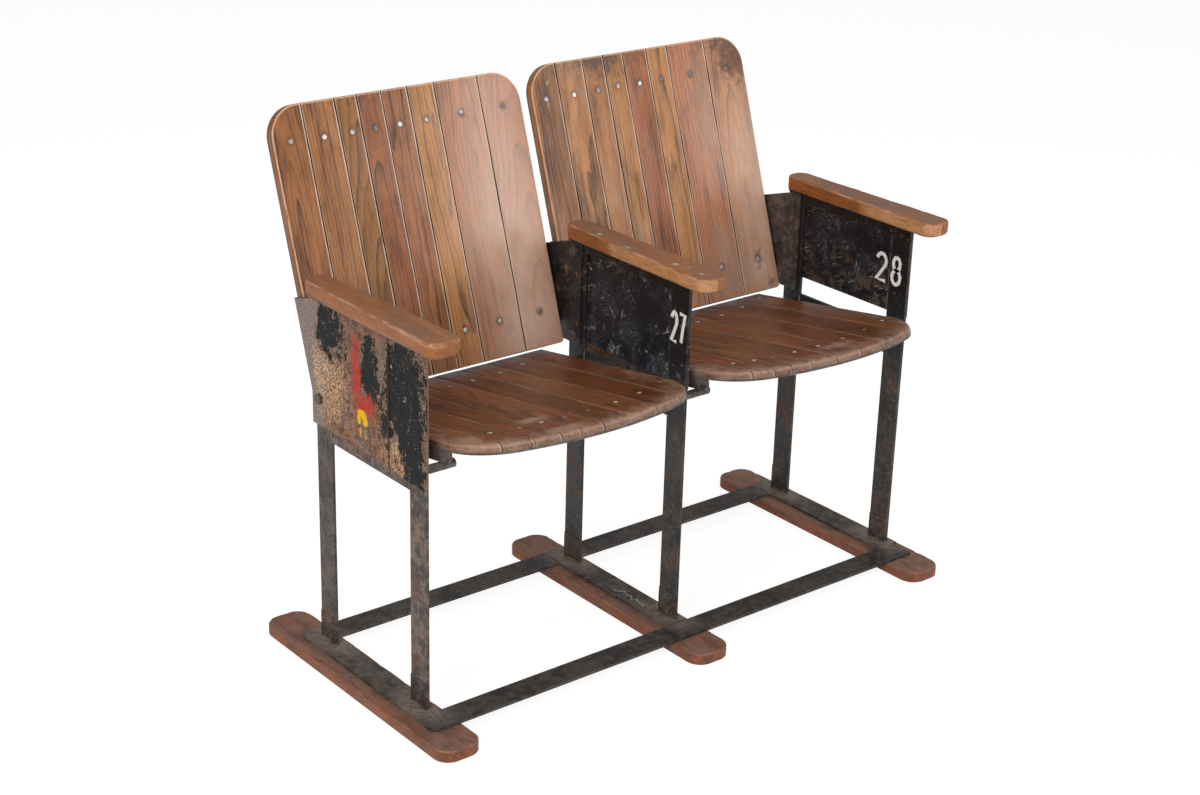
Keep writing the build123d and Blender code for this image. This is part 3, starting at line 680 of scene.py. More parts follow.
# %% Outer panel finish
panel, mixer, surface = new_material("panel_outer", Specular_IOR_Level=0.10)
place = mixer.place()
_, along, height = mixer.parts(place)
fine = mixer.noise(place, 250, 4, 0.75)
middle = mixer.noise(place, 62, 5, 0.70)
wide = mixer.noise(mixer.stretch(place, 20, 26, 9), 1.0, 4, 0.6)
outer_face = mixer.step(mixer.parts(mixer.normal())["X"], -0.6, -0.3, 1.0, 0.0)
strip_joints = (0.0757, -0.0517)    # y of the two seams between the three strips


def zone(centre_y, centre_z, half_y, half_z, ragged):
    """1 in the middle of an upright oval, fading to 0 at its border, which noise makes ragged."""
    off = mixer.length((along - centre_y) / half_y, (height - centre_z) / half_z)
    off = off + (wide - 0.5) * (ragged * 2.2) + (middle - 0.5) * (ragged * 2.2)
    return mixer.step(off, 1.25, 0.45) * outer_face


def zones(*ovals):
    """The union of some zones. Each oval is its centre's y and z, its half sizes and how ragged it is."""
    return mixer.most(*(zone(*oval) for oval in ovals))


black_zones = zones((0.106, 0.562, 0.036, 0.054, 1.0), (-0.004, 0.530, 0.036, 0.050, 0.9),
                    (-0.090, 0.520, 0.070, 0.098, 0.8), (-0.122, 0.420, 0.026, 0.050, 1.0),
                    (-0.062, 0.520, 0.020, 0.080, 0.9))
near_black = mixer.step(black_zones, 0.02, 0.35)
sandy = mixer.most(near_black, zone(0.112, 0.480, 0.060, 0.075, 0.8), zone(-0.080, 0.425, 0.045, 0.040, 0.8))
rust = mixer.mix(mixer.step(middle, 0.38, 0.60), colour(142, 106, 86), colour(88, 68, 58))
rust = mixer.mix(mixer.step(fine, 0.54, 0.66, 0.0, 0.55), rust, colour(62, 48, 42))
rust = mixer.mix(mixer.step(wide, 0.48, 0.64) * 0.7, rust, colour(118, 106, 101))
rear_strip = mixer.step(along + (middle - 0.5) * 0.05, 0.118, 0.136)
rust = mixer.mix(rear_strip * 0.75, rust, mixer.mix(fine, colour(96, 88, 84), colour(168, 156, 150)))
sand = mixer.step(fine * 0.8 + middle * 0.2 + sandy * 0.042, 0.53, 0.56)
rust = mixer.mix(sand * mixer.step(sandy, 0.0, 1.0, 0.28, 0.9), rust, colour(216, 174, 136))
keep = black_zones * 1.2 + (fine - 0.5) * 2.8
paint_left = mixer.step(keep, 0.42, 0.47)
border = mixer.step(keep, 0.3, 0.41) * mixer.step(keep, 0.47, 0.42)
rust = mixer.mix(border * 0.75, rust, colour(210, 172, 134))
coat = mixer.mix(mixer.step(middle, 0.42, 0.66), colour(12, 12, 14), colour(28, 28, 30))
crumb = mixer.step(mixer.noise(place, 260, 4, 0.72) + (middle - 0.5) * 0.5, 0.655, 0.68)
coat = mixer.mix(crumb * 0.8, coat, colour(206, 176, 142))
tinted = mixer.mix(paint_left, rust, coat)
lap = mixer.least(*(abs(along - joint) for joint in strip_joints))
tinted = mixer.mix(mixer.step(lap, 0.0018, 0.0006) * 0.75, tinted, colour(44, 36, 32))
red = zone(0.034, 0.525, 0.014, 0.06, 0.8) * mixer.step(fine, 0.42, 0.5)
red = mixer.most(red, zone(0.01, 0.472, 0.028, 0.022, 1.0) * mixer.step(fine, 0.42, 0.5))
tinted = mixer.mix(red * 0.92, tinted, colour(196, 52, 40))
yellow = zones((0.0185, 0.4560, 0.0125, 0.0085, 0.7), (0.0105, 0.4470, 0.0065, 0.0090, 0.7),
               (0.0270, 0.4480, 0.0045, 0.0095, 0.7))
trickle = zones((0.024, 0.428, 0.0022, 0.0110, 0.5), (0.009, 0.424, 0.0022, 0.0120, 0.5))
yellow = mixer.most(yellow, trickle * mixer.step(fine, 0.46, 0.52))
tinted = mixer.mix(mixer.step(yellow, 0.2, 0.35), tinted, colour(232, 178, 36))
worn = mixer.call(worn_edge, Radius=0.0007, Where=place, Spread=0.12)
tinted = mixer.mix(worn["Mask"] * 0.7, tinted, colour(134, 116, 104))
mixer.feed(surface["Base Color"], tinted)
mixer.feed(surface["Roughness"], mixer.step(paint_left, 0.0, 1.0, 0.78, 0.42))
mixer.feed(surface["Normal"], mixer.relief(paint_left * 0.5 + fine * 0.5, 0.0006, 0.8))
print("steel finishes made; the outer panel has", len(mixer.tree.nodes), "nodes")

# %% Small parts' finishes
def simple_metal(name, clean, dull, rough, metal):
    """Screw heads, nuts and beads: two tones and a fine grain."""
    material, mixer, surface = new_material(name)
    place = mixer.place()
    spots = mixer.noise(place, 520, 4, 0.7)
    lot = mixer.noise(place, 31, 2, 0.5)
    shade = spots * 0.6 + mixer.step(lot, 0.35, 0.65) * 0.5
    mixer.feed(surface["Base Color"], mixer.mix(mixer.step(shade, 0.40, 0.72), clean, dull))
    mixer.feed(surface["Roughness"], mixer.step(shade, 0.3, 0.8, rough, rough + 0.25))
    mixer.feed(surface["Metallic"], mixer.step(shade, 0.45, 0.75, metal, metal * 0.4))
    mixer.feed(surface["Normal"], mixer.relief(spots, 0.0003, 0.6))
    return material


screw_metal = simple_metal("screw_heads", colour(222, 222, 220), colour(126, 118, 108), 0.34, 0.55)
seat_screw_metal = simple_metal("seat_screw_heads", colour(190, 182, 170), colour(112, 98, 84), 0.40, 0.45)
nut_metal = simple_metal("nuts", colour(150, 144, 136), colour(92, 80, 70), 0.45, 0.6)
bead_metal = simple_metal("weld_beads", colour(112, 100, 92), colour(66, 58, 53), 0.5, 0.15)

number_paint, mixer, surface = new_material("number_paint", Roughness=0.5)
chipped = mixer.call(flakes, Where=mixer.place(), Scale=130.0, Amount=-0.10)["Mask"]
faded = mixer.mix(mixer.noise(mixer.place(), 160, 3, 0.6), colour(250, 250, 248), colour(226, 226, 222))
mixer.feed(surface["Base Color"], mixer.mix(chipped, faded, colour(60, 58, 56)))
mixer.feed(surface["Normal"], mixer.relief(mixer.noise(mixer.place(), 300, 3, 0.6), 0.0002, 0.5))

# %% [markdown]
# ## Building surfaces from grids
# A board is a height over a grid of points: flat in the middle, rounded at its
# edges, with a straight wall and a flat underside. Its rounding needs only one
# number at each point, the distance to the nearest edge. The points crowd
# towards the edges, where the shape turns.

# %% Grid helpers
def crowded(count):
    """Numbers from 0 to 1 that lie closer at both ends: half of one minus the cosine of equal turns."""
    return (1 - np.cos(np.linspace(0, np.pi, count))) / 2


def ease(distance, radius):
    """How far a rounded edge has dropped at a distance in from it: r minus the root of r² minus (r - d)²."""
    inside = np.clip(radius - distance, 0.0, radius)
    return radius - np.sqrt(radius**2 - inside**2)


def wobble(t, random, waves, reach):
    """A smooth random line: a sum of sines with random phases, each faster and smaller than the last."""
    made = np.zeros_like(t)
    for number in range(1, waves + 1):
        made += np.sin(2 * np.pi * (number * 1.7 * t + random.random())) / number
    return reach * made / 1.6


def grid_faces(rows, columns, start, flip=False):
    """The quads of a grid whose points are numbered row by row."""
    corner = start + np.arange(rows - 1)[:, None] * columns + np.arange(columns - 1)
    quads = np.stack([corner, corner + 1, corner + columns + 1, corner + columns], -1).reshape(-1, 4)
    return quads[:, ::-1] if flip else quads


def slab(top, bottom):
    """A closed body between two grids of points of one size: the grids and a wall along their rims."""
    rows, columns = top.shape[:2]
    count = rows * columns
    index = np.arange(count).reshape(rows, columns)
    rim = np.concatenate([index[0, :-1], index[:-1, -1], index[-1, :0:-1], index[:0:-1, 0]])
    following = np.roll(rim, -1)
    wall = np.stack([rim + count, following + count, following, rim], -1)
    faces = np.concatenate([grid_faces(rows, columns, 0), grid_faces(rows, columns, count, True), wall])
    return np.concatenate([top.reshape(-1, 3), bottom.reshape(-1, 3)]), faces


def disc(line):
    """A square grid of numbers from -1 to 1 drawn round into a disc: each point's first number shrinks by the root
    of one minus half the square of its second, and its second likewise."""
    u, v = np.meshgrid(line, line)
    return u * np.sqrt(1 - v**2 / 2), v * np.sqrt(1 - u**2 / 2), v


def cap(start, count, flip=False):
    """Closes a ring of an even count of points with quads that all share its first point."""
    second = np.arange(1, count - 2, 2)
    quads = np.stack([0 * second, second, second + 1, second + 2], -1) + start
    return quads[:, ::-1] if flip else quads


def tube_faces(rings, count, flip=False):
    """The quads of a closed tube whose points are numbered ring by ring, with a cap on each end."""
    first = np.arange(rings - 1)[:, None] * count
    here, after = first + np.arange(count), first + (np.arange(count) + 1) % count
    around = np.stack([here, after, count + after, count + here], -1).reshape(-1, 4)
    around = around[:, [0, 3, 2, 1]] if flip else around
    return np.concatenate([around, cap(0, count, not flip), cap((rings - 1) * count, count, flip)])


def joined(bodies):
    """Several (points, faces, values) in one, with the faces' numbers moved on."""
    points, faces, values, start = [], [], {}, 0
    for body_points, body_faces, body_values in bodies:
        points.append(body_points)
        faces.append(body_faces + start)
        start += len(body_points)
        for key, value in body_values.items():
            values.setdefault(key, []).append(value)
    return np.concatenate(points), np.concatenate(faces), {k: np.concatenate(v) for k, v in values.items()}


def make_piece(name, bodies, material, body, place=None, sharp=38):
    """One mesh object of closed bodies, with their values as attributes, riding on a body of the frame."""
    points, faces, values = joined(bodies)
    if place is not None:
        points = points @ place[:3, :3].T + place[:3, 3]
    mesh = bpy.data.meshes.new(name)
    mesh.from_pydata(points.tolist(), [], faces.tolist())
    for key, value in values.items():
        kind = "FLOAT_VECTOR" if value.ndim == 2 else "FLOAT"
        attribute = mesh.attributes.new(key, kind, "POINT")
        attribute.data.foreach_set("vector" if value.ndim == 2 else "value", value.astype(np.float32).ravel())
    mesh.shade_smooth()
    mesh.set_sharp_from_angle(angle=math.radians(sharp))
    mesh.materials.append(material)
    made = bpy.data.objects.new(name, mesh)
    bpy.context.scene.collection.objects.link(made)
    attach(made, body)
    print(name, "faces:", len(faces))
    return made


# %% [markdown]
# ## Where the leaves lie
# A back or a seat is flat, so its boards are worked out lying down: x across,
# y along the boards and z out of the face that the sitter touches. A matrix
# then puts them in place, and the same matrix places their screws.

# %% Leaves
recline = math.radians(18.6)
pitch = math.radians(9.2)
station_pitch = 0.497
first_leg_face = -station_pitch + 0.016    # the left frame's leg face on the sitters' side
board_thickness, leaf_thickness = 0.0125, 0.016
board_gap = 0.0012

back_width, back_height, back_corner, back_foot_corner = 0.474, 0.461, 0.052, 0.006
back_side_gap, back_foot_y, back_foot_z = 0.0045, 0.1484, 0.4277
seat_width, seat_length, seat_corner, seat_bow = 0.432, 0.453, 0.098, 0.46875
seat_side_gap, pivot_y, pivot_z, face_over_pivot = 0.022, 0.1325, 0.3979, 0.022
seat_rear = 0.0435    # from the pivots back to the seat's rear edge
seat_front = seat_rear - seat_length


def lying(middle_x, y, z, tilt, z_sign):
    """The matrix of a leaf: its normal is (0, sin, cos) of the tilt for a seat and (0, -cos, sin) for a back."""
    normal = (0, math.sin(tilt), math.cos(tilt)) if z_sign > 0 else (0, -math.cos(tilt), math.sin(tilt))
    along = (0, normal[2], -normal[1])
    return np.array([[1, 0, 0, middle_x], [0, along[1], normal[1], y], [0, along[2], normal[2], z], [0, 0, 0, 1.0]])


def back_place(number):
    """The matrix of a back: it leans on its foot by the recline."""
    left_edge = first_leg_face + number * station_pitch + back_side_gap
    return lying(left_edge + back_width / 2, back_foot_y, back_foot_z, recline, -1)


def seat_place(number):
    """The matrix of a seat: its face lies over the pivots, tilted by the pitch."""
    left_edge = first_leg_face + number * station_pitch + seat_side_gap
    y = pivot_y + face_over_pivot * math.sin(pitch)
    z = pivot_z + face_over_pivot * math.cos(pitch)
    return lying(left_edge + seat_width / 2, y, z, pitch, 1)


for number, side in enumerate(("left", "right")):
    for label, place in (("back_boards_", back_place(number)), ("seat_boards_", seat_place(number))):
        print(label + side, "corner", np.round(place[:3, 3], 4), "box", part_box(label + side)[0][:])

# %% Outlines
def rounded_corner(x, y, centre_x, centre_y, radius):
    """Distance in from a quarter circle, and whether the point lies in its quarter."""
    over_x, over_y = x - centre_x, y - centre_y
    return radius - np.hypot(over_x, over_y), (over_x > 0) & (over_y > 0)


def back_edge(x, y):
    """Distance in from the back's outline: the nearest straight side, or the arc in each corner."""
    half = back_width / 2
    across = np.abs(x)
    found = np.minimum(half - across, np.minimum(y, back_height - y))
    arc, here = rounded_corner(across, y, half - back_corner, back_height - back_corner, back_corner)
    found = np.where(here, arc, found)
    arc, here = rounded_corner(across, -y, half - back_foot_corner, -back_foot_corner, back_foot_corner)
    return np.where(here, arc, found)


def back_low(x):
    """The lower outline: straight, with a small arc at each end."""
    over = np.clip(np.abs(x) - (back_width / 2 - back_foot_corner), 0, back_foot_corner)
    return back_foot_corner - np.sqrt(back_foot_corner**2 - over**2)


def back_high(x):
    """The upper outline: straight, with a large arc at each end."""
    over = np.clip(np.abs(x) - (back_width / 2 - back_corner), 0, back_corner)
    return back_height - back_corner + np.sqrt(back_corner**2 - over**2)


bow_centre = seat_front + seat_bow
corner_x = seat_width / 2 - seat_corner
corner_y = bow_centre - math.sqrt((seat_bow - seat_corner)**2 - corner_x**2)
corner_end = corner_x * seat_bow / (seat_bow - seat_corner)


def seat_edge(x, y):
    """Distance in from the seat's outline: sides, rear, the bowed front, or the arc in each front corner."""
    across = np.abs(x)
    found = np.minimum(seat_width / 2 - across, seat_rear - y)
    found = np.minimum(found, seat_bow - np.hypot(x, y - bow_centre))
    over_x, over_y = across - corner_x, y - corner_y
    here = (over_y < 0) & (corner_x * over_y + (bow_centre - corner_y) * over_x > 0)
    return np.where(here, seat_corner - np.hypot(over_x, over_y), found)


def seat_low(x):
    """The front outline: the bow in the middle and the corner arcs outside."""
    across = np.abs(x)
    middle = bow_centre - np.sqrt(seat_bow**2 - x**2)
    over = np.clip(across - corner_x, 0, seat_corner)
    return np.where(across > corner_end, corner_y - np.sqrt(seat_corner**2 - over**2), middle)


def seat_high(x):
    """The rear outline: straight."""
    return np.full_like(x, seat_rear)


# %% [markdown]
# ## Boards
# Each leaf has eight or nine boards of uneven width. On the real one no two
# boards are quite level, their long arrises are rubbed round by different
# amounts, and the front ends of the seat boards have shrunk unevenly. The
# random numbers that do this are seeded, so each run gives the same boards.

# %% One board
arris, arris_wave, arris_least = 0.0019, 0.0007, 0.0008    # how round the long edges are rubbed
level_wave = 0.00012
no_seam = 1.0    # added to the distance from a side that has no neighbour
quarter_sawn = 0.35    # the share of boards sawn beside the heart


def one_board(left, right, leaf, look, random):
    """A board between two seams of a leaf. look gives its tone, hue, end setback, levels and screw rows."""
    across, along = crowded(leaf["points"][0]), crowded(leaf["points"][1])
    x = np.broadcast_to(left + (right - left) * across, (len(along), len(across))).copy()
    middle = (left + right) / 2
    skew = look["setback"] * (0.6 + 0.8 * (across - 0.5) * random.uniform(-1, 1))
    y0 = leaf["low"](x[0]) + skew
    y = y0 + (leaf["high"](x[0]) - y0) * along[:, None]
    outer = leaf["edge"](x, y - skew * (1 - along[:, None]))
    from_left = x - left + (no_seam if look["first"] else 0)
    from_right = right - x + (no_seam if look["last"] else 0)
    rubbed = np.maximum(arris + wobble(y / 0.4, random, 5, arris_wave), arris_least)
    drop = np.maximum(ease(np.maximum(outer, 0), leaf["radius"]),
                      ease(np.maximum(np.minimum(from_left, from_right), 0), rubbed))
    cup = look["cup"] * ((x - middle) / (right - left) * 2) ** 2
    level = look["level"] + wobble(y / 0.5, random, 3, level_wave)
    top = np.stack([x, y, -drop - cup + level], -1)
    points, faces = slab(top, np.stack([x, y, np.full_like(x, -board_thickness)], -1))
    heart_x, heart_z, tilt = random.uniform(-0.02, 0.02), random.uniform(0.010, 0.035), random.uniform(-0.10, 0.10)
    if random.random() < quarter_sawn:    # a board sawn beside the heart shows straight lines
        heart_x = random.uniform(0.10, 0.18)
    grain = np.stack([
        points[:, 0] - middle + heart_x,
        points[:, 1] + random.uniform(0, 9),
        points[:, 2] + heart_z + tilt * points[:, 1],
    ], -1)
    front, rear = look["rows"]
    joints = np.stack([from_left, from_right, np.maximum(outer, 0)], -1).reshape(-1, 3)
    values = {
        "grain": grain, "joints": np.tile(joints, (2, 1)),
        "screw": np.stack([points[:, 0] - middle, points[:, 1] - front, points[:, 1] - rear], -1),
        "tone": np.full(len(points), look["tone"]), "hue": np.full(len(points), look["hue"]),
    }
    for mask in ("bare", "stain", "drip"):
        values[mask] = look[mask](points)
    return points, faces, values


def seams(widths, total):
    """Places of the board edges across a leaf that the widths share out."""
    return np.concatenate([[0.0], np.cumsum(widths)]) * total / sum(widths) - total / 2


def leaf_boards(leaf, widths, tones, hues, seed, masks):
    """All boards of a leaf. masks gives bare, stain and drip as functions of the points."""
    random = np.random.default_rng(seed)
    edges = seams(widths, leaf["width"])
    bodies = []
    for number, (left, right) in enumerate(zip(edges, edges[1:])):
        first, last = number == 0, number == len(widths) - 1
        look = {
            "tone": tones[number], "hue": hues[number], "first": first, "last": last,
            "rows": [row((left + right) / 2) for row in leaf["rows"]],
            "setback": random.uniform(0, leaf["setback"]),
            "cup": random.uniform(0.0, 0.0003), "level": random.uniform(-0.0003, 0.0001), **masks,
        }
        gap = board_gap / 2
        left, right = left + (0 if first else gap), right - (0 if last else gap)
        bodies.append(one_board(left, right, leaf, look, random))
    return bodies


# %% Backs
back_boards = {"left": (62, 61, 41, 46, 50, 52, 86, 80), "right": (58, 57, 45, 42, 52, 46, 84, 84)}
back_tones = {
    "left": (0.42, 0.48, 0.30, 0.34, 0.42, 0.78, 0.62, 0.60),
    "right": (0.38, 0.74, 0.58, 0.80, 0.52, 0.92, 0.74, 1.00),
}
back_hues = {
    "left": (0.55, 0.40, 0.15, 0.80, 0.60, 0.10, 0.75, 0.85),
    "right": (0.50, 0.30, 0.45, 0.10, 0.90, 0.25, 0.80, 0.45),
}
back_leaf = {
    "width": back_width, "low": back_low, "high": back_high, "edge": back_edge, "radius": 0.0035, "setback": 0.0,
    "rows": (lambda x: 0.060, lambda x: 0.4045), "points": (26, 90),
}

# Each spot is its middle across and up the leaf, its reach both ways and its depth.
back_stains = {
    "left": (
        (-0.075, 0.455, 0.10, 0.035, 0.35), (0.0, 0.405, 0.030, 0.030, 0.40), (-0.05, 0.39, 0.025, 0.05, 0.35),
        (-0.235, 0.44, 0.03, 0.04, 0.3),
    ),
    "right": (
        (-0.10, 0.462, 0.13, 0.042, 0.75), (0.09, 0.462, 0.09, 0.030, 0.45), (0.215, 0.425, 0.045, 0.050, 0.95),
        (0.19, 0.455, 0.06, 0.028, 0.7), (0.195, 0.066, 0.022, 0.026, 0.45), (-0.215, 0.41, 0.02, 0.05, 0.45),
        (0.222, 0.012, 0.02, 0.02, 0.5),
    ),
}
# Spots of painted sheen: pale patches on the right boards of each back that stand for the lamp's reflection. They go
# on as the bare mask.
back_sheen_spots = {
    "left": ((0.165, 0.20, 0.085, 0.26, 1.0), (0.170, 0.40, 0.09, 0.12, 0.6), (0.175, 0.05, 0.09, 0.11, 1.0)),
    "right": (
        (0.205, 0.17, 0.065, 0.20, 0.9), (0.13, 0.30, 0.05, 0.16, 0.5), (0.14, 0.05, 0.07, 0.12, 0.6),
        (0.205, 0.05, 0.05, 0.09, 0.9),
    ),
}
back_drips = {
    "left": (),
    "right": (
        (-0.2035, 0.430, 0.0016, 0.020, 1.0), (-0.2060, 0.395, 0.0016, 0.018, 1.0),
        (-0.1985, 0.432, 0.0040, 0.0030, 0.9), (0.2010, 0.4320, 0.0040, 0.0026, 0.9),
        (0.2085, 0.4265, 0.0034, 0.0024, 0.9), (0.2120, 0.4360, 0.0032, 0.0024, 0.8),
    ),
}


def blots(points, spots):
    """Soft stains on a leaf: the largest of some bells, each exp(-r²) about a spot's middle."""
    found = np.zeros(len(points))
    for x, y, reach_x, reach_y, depth in spots:
        bell = depth * np.exp(-((points[:, 0] - x) / reach_x) ** 2 - ((points[:, 1] - y) / reach_y) ** 2)
        found = np.maximum(found, bell)
    return found


def masks_of(**spots):
    """Functions that put each kind of spot on the points of a leaf."""
    return {mask: lambda points, found=found: blots(points, found) for mask, found in spots.items()}


for number, side in enumerate(("left", "right")):
    # On the backs the bare mask carries the painted sheen spots.
    masks = masks_of(bare=back_sheen_spots[side], stain=back_stains[side], drip=back_drips[side])
    bodies = leaf_boards(back_leaf, back_boards[side], back_tones[side], back_hues[side], 11 + number, masks)
    made = make_piece("backrest_" + side, bodies, back_wood, "frame", back_place(number))
    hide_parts("back_boards_" + side)

# %% Seats
seat_boards = {"left": (44, 45, 42, 31, 41, 52, 54, 59, 58), "right": (39, 33, 30, 37, 49, 55, 63, 69, 65)}
seat_tones = {
    "left": (0.66, 0.54, 0.36, 0.50, 0.64, 0.34, 0.56, 0.32, 0.52),
    "right": (0.60, 0.48, 0.34, 0.56, 0.40, 0.64, 0.50, 0.36, 0.58),
}
seat_hues = {
    "left": (0.5, 0.4, 0.6, 0.5, 0.7, 0.4, 0.5, 0.6, 0.5),
    "right": (0.5, 0.6, 0.4, 0.5, 0.6, 0.5, 0.7, 0.5, 0.4),
}
seat_stains = ((-0.19, 0.0, 0.03, 0.08, 0.30), (0.0, -0.40, 0.20, 0.012, 0.25))
seat_scuffs = {
    "left": ((-0.070, -0.306, 0.030, 0.012, 1.6), (-0.067, -0.385, 0.040, 0.018, 1.8),
             (-0.189, -0.320, 0.02, 0.03, 1.3)),
    "right": ((0.02, -0.36, 0.05, 0.02, 1.2),),
}
front_row, rear_row, rear_row_bow = 0.073, 0.370, 0.388
front_wear = 0.06    # how far in from the front edge the sitters have rubbed


def bowed_row(x, behind_front, bow):
    """How far back a screw stands in a row that is bent along an arc of radius bow."""
    return seat_front + behind_front + bow - math.sqrt(bow**2 - x**2)


seat_leaf = {
    "width": seat_width, "low": seat_low, "high": seat_high, "edge": seat_edge, "radius": 0.0085, "setback": 0.0016,
    "rows": (lambda x: bowed_row(x, front_row, seat_bow), lambda x: bowed_row(x, rear_row, rear_row_bow)),
    "points": (26, 96),
}


def front_scuffs(points, side):
    """Most worn along the front edge, where sitters slide off, and in a few spots of each seat."""
    from_edge = seat_edge(points[:, 0], points[:, 1])
    at_front = np.clip(1 - from_edge / front_wear, 0, 1) * (points[:, 1] < -0.15)
    return np.maximum(at_front, blots(points, seat_scuffs[side]))


for number, side in enumerate(("left", "right")):
    masks = {**masks_of(stain=seat_stains, drip=()), "bare": lambda points, side=side: front_scuffs(points, side)}
    bodies = leaf_boards(seat_leaf, seat_boards[side], seat_tones[side], seat_hues[side], 31 + number, masks)
    made = make_piece("seat_top_" + side, bodies, shaded_seat_wood, "seat_" + side, seat_place(number))
    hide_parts("seat_boards_" + side)

# %% [markdown]
# ## Armrests and feet
# These are single planks. Each is a grid between its two long sides, which come
# together in round ends, and the same rounding rule eases its top and bottom
# edges. The hand has worn the armrests smooth. The feet are rougher and have
# lost small bites from their edges.

# %% Planks
rim_reach = 0.012    # how far in from its edges a plank is bitten, and stays down where it is warped
bared_edge = 0.0015


def plank(low, high, widths, corners, radius, under, bite, seed, lift=0.0, bared_from=-1.0, marks=()):
    """A plank along y in the box from low to high. widths are its half widths at both ends, corners their rounding
    radii, under the rounding of its lower edge at both ends. Its front may be lifted a little, as on an arm that has
    warped. Its near side may be rubbed bare in front of some y, and marks are spots of old paint on its top."""
    random = np.random.default_rng(seed)
    middle_x, length = (low.x + high.x) / 2, high.y - low.y
    across = crowded(34) * 2 - 1
    y = low.y + length * crowded(120)

    def half(at):
        return widths[0] + (widths[1] - widths[0]) * (at - low.y) / length

    narrowed = half(y)
    for corner, from_end in zip(corners, (y - low.y, high.y - y)):
        over = np.clip(corner - from_end, 0, corner)
        narrowed = narrowed - (corner - np.sqrt(corner**2 - over**2))
    x = narrowed[:, None] * across
    grid_y = np.broadcast_to(y[:, None], x.shape)
    edge = np.minimum(half(grid_y) - np.abs(x), np.minimum(grid_y - low.y, high.y - grid_y))
    for end, corner, way in ((low.y, corners[0], 1), (high.y, corners[1], -1)):
        over_x = np.abs(x) - (half(grid_y) - corner)
        over_y = (end + way * corner - grid_y) * way
        edge = np.where((over_x > 0) & (over_y > 0), corner - np.hypot(over_x, over_y), edge)
    edge = np.maximum(edge, 0)
    at_edge = np.clip(1 - edge / rim_reach, 0, 1)
    rough = wobble(grid_y / 0.12 + across * 0.3, random, 6, 1.0)
    lost = bite * np.clip(rough - 0.35, 0, 1) * at_edge
    rounding = radius * (1 + 0.25 * wobble(grid_y / 0.2, random, 4, 1.0))
    ahead = (high.y - grid_y) / length
    top = np.stack([middle_x + x, grid_y, high.z + lift * ahead - ease(edge, rounding) - lost], -1)
    lower = ease(edge, under[1] + (under[0] - under[1]) * ahead)
    bottom = np.stack([middle_x + x, grid_y, low.z + lower + lift * ahead * at_edge], -1)
    points, faces = slab(top, bottom)
    heart = (random.uniform(0.02, 0.06), random.uniform(0.01, 0.05), random.uniform(-0.05, 0.05))
    grain = np.stack([points[:, 0] - middle_x + heart[0], points[:, 1] + random.uniform(0, 9),
                      points[:, 2] - low.z + heart[1] + heart[2] * points[:, 1]], -1)
    is_top = np.concatenate([np.clip(edge.ravel() / radius, 0, 1), np.zeros(edge.size)])
    seam = np.tile(edge.ravel(), 2)
    near_side = (points[:, 0] < middle_x) * np.clip((bared_from - points[:, 1]) / 0.02, 0, 1)
    values = {
        "grain": grain, "seam": seam, "top": is_top, "depth": high.z - points[:, 2],
        "bared": np.clip(1 - seam / bared_edge, 0, 1) * near_side,
        "marks": blots(points - (middle_x, 0, 0), marks) * is_top,
    }
    return points, faces, values


# %% Armrests
sides = ("left", "middle", "right")
arm_shape = {"widths": (0.0285, 0.021), "corners": (0.021, 0.018), "radius": 0.0042, "under": (0.0066, 0.0020),
             "bite": 0.0006}
arm_lifts = (0.0045, 0.0, 0.0)
arm_bared = (-1.0, 0.045, -0.05)
arm_marks = (
    (),
    ((-0.012, 0.0535, 0.004, 0.007, 1.0), (-0.017, -0.024, 0.003, 0.008, 1.0), (-0.008, -0.132, 0.006, 0.007, 1.0),
     (-0.002, -0.153, 0.005, 0.006, 0.9), (-0.006, -0.190, 0.003, 0.005, 0.9)),
    ((0.004, -0.10, 0.003, 0.006, 0.7),),
)
for number, side in enumerate(sides):
    body = plank(*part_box("armrest_" + side), **arm_shape, seed=51 + number, lift=arm_lifts[number],
                 bared_from=arm_bared[number], marks=arm_marks[number])
    made = make_piece("arm_top_" + side, [body], arm_wood, "frame")
    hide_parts("armrest_" + side)

# %% Feet
foot_shape = {"widths": (0.038, 0.038), "corners": (0.027, 0.027), "radius": 0.0036, "under": (0.0006, 0.0006),
              "bite": 0.0016}
for number, side in enumerate(sides):
    body = plank(*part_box("foot_" + side), **foot_shape, seed=61 + number)
    made = make_piece("foot_board_" + side, [body], foot_wood, "frame")
    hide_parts("foot_" + side)

# %% [markdown]
# ## Steel parts
# The bars, sheets, rims and bolts are right as they are, so they only get their
# finish. The left frame is browner than the other two.

# %% Finishes for the steel nodes
finishes = {
    "front_leg_left": leg_steel, "rear_leg_left": lap_steel, "lower_rail_left": leg_steel, "arm_rail_left": leg_steel,
    "side_sheet_left": panel, "side_sheet_middle": middle_panel, "side_sheet_right": right_panel,
    "bracket_left_inner": dark_plate_steel,
}
by_beginning = (
    ("front_leg", dark_leg_steel), ("rear_leg", dark_leg_steel), ("lower_rail", dark_leg_steel),
    ("arm_rail", dark_leg_steel), ("base_strip", strip_steel), ("floor_bar", floor_steel),
    ("leg_cleats", dark_leg_steel), ("bracket", plate_steel), ("back_rim", rim_steel), ("seat_rim", rim_steel),
    ("back_straps", rim_steel), ("seat_straps", rim_steel), ("seat_rails", rail_steel), ("stop_rods", rail_steel),
    ("pivot_pins", bolt_steel), ("frame_bolts", bolt_steel),
)
for name, node in frame["nodes"].items():
    if node.hide_render:
        continue
    finish = finishes.get(name) or next(material for start, material in by_beginning if name.startswith(start))
    node.data.materials.clear()
    node.data.materials.append(finish)
print("steel nodes finished")

# %% [markdown]
# ## Screws, nuts and welds
# A screw through the middle of each board holds it to the steel strap behind,
# with a nut under the strap. The heads are low discs with a slot, rubbed bright.
# The frame is arc welded: a rippled bead runs along each joint.

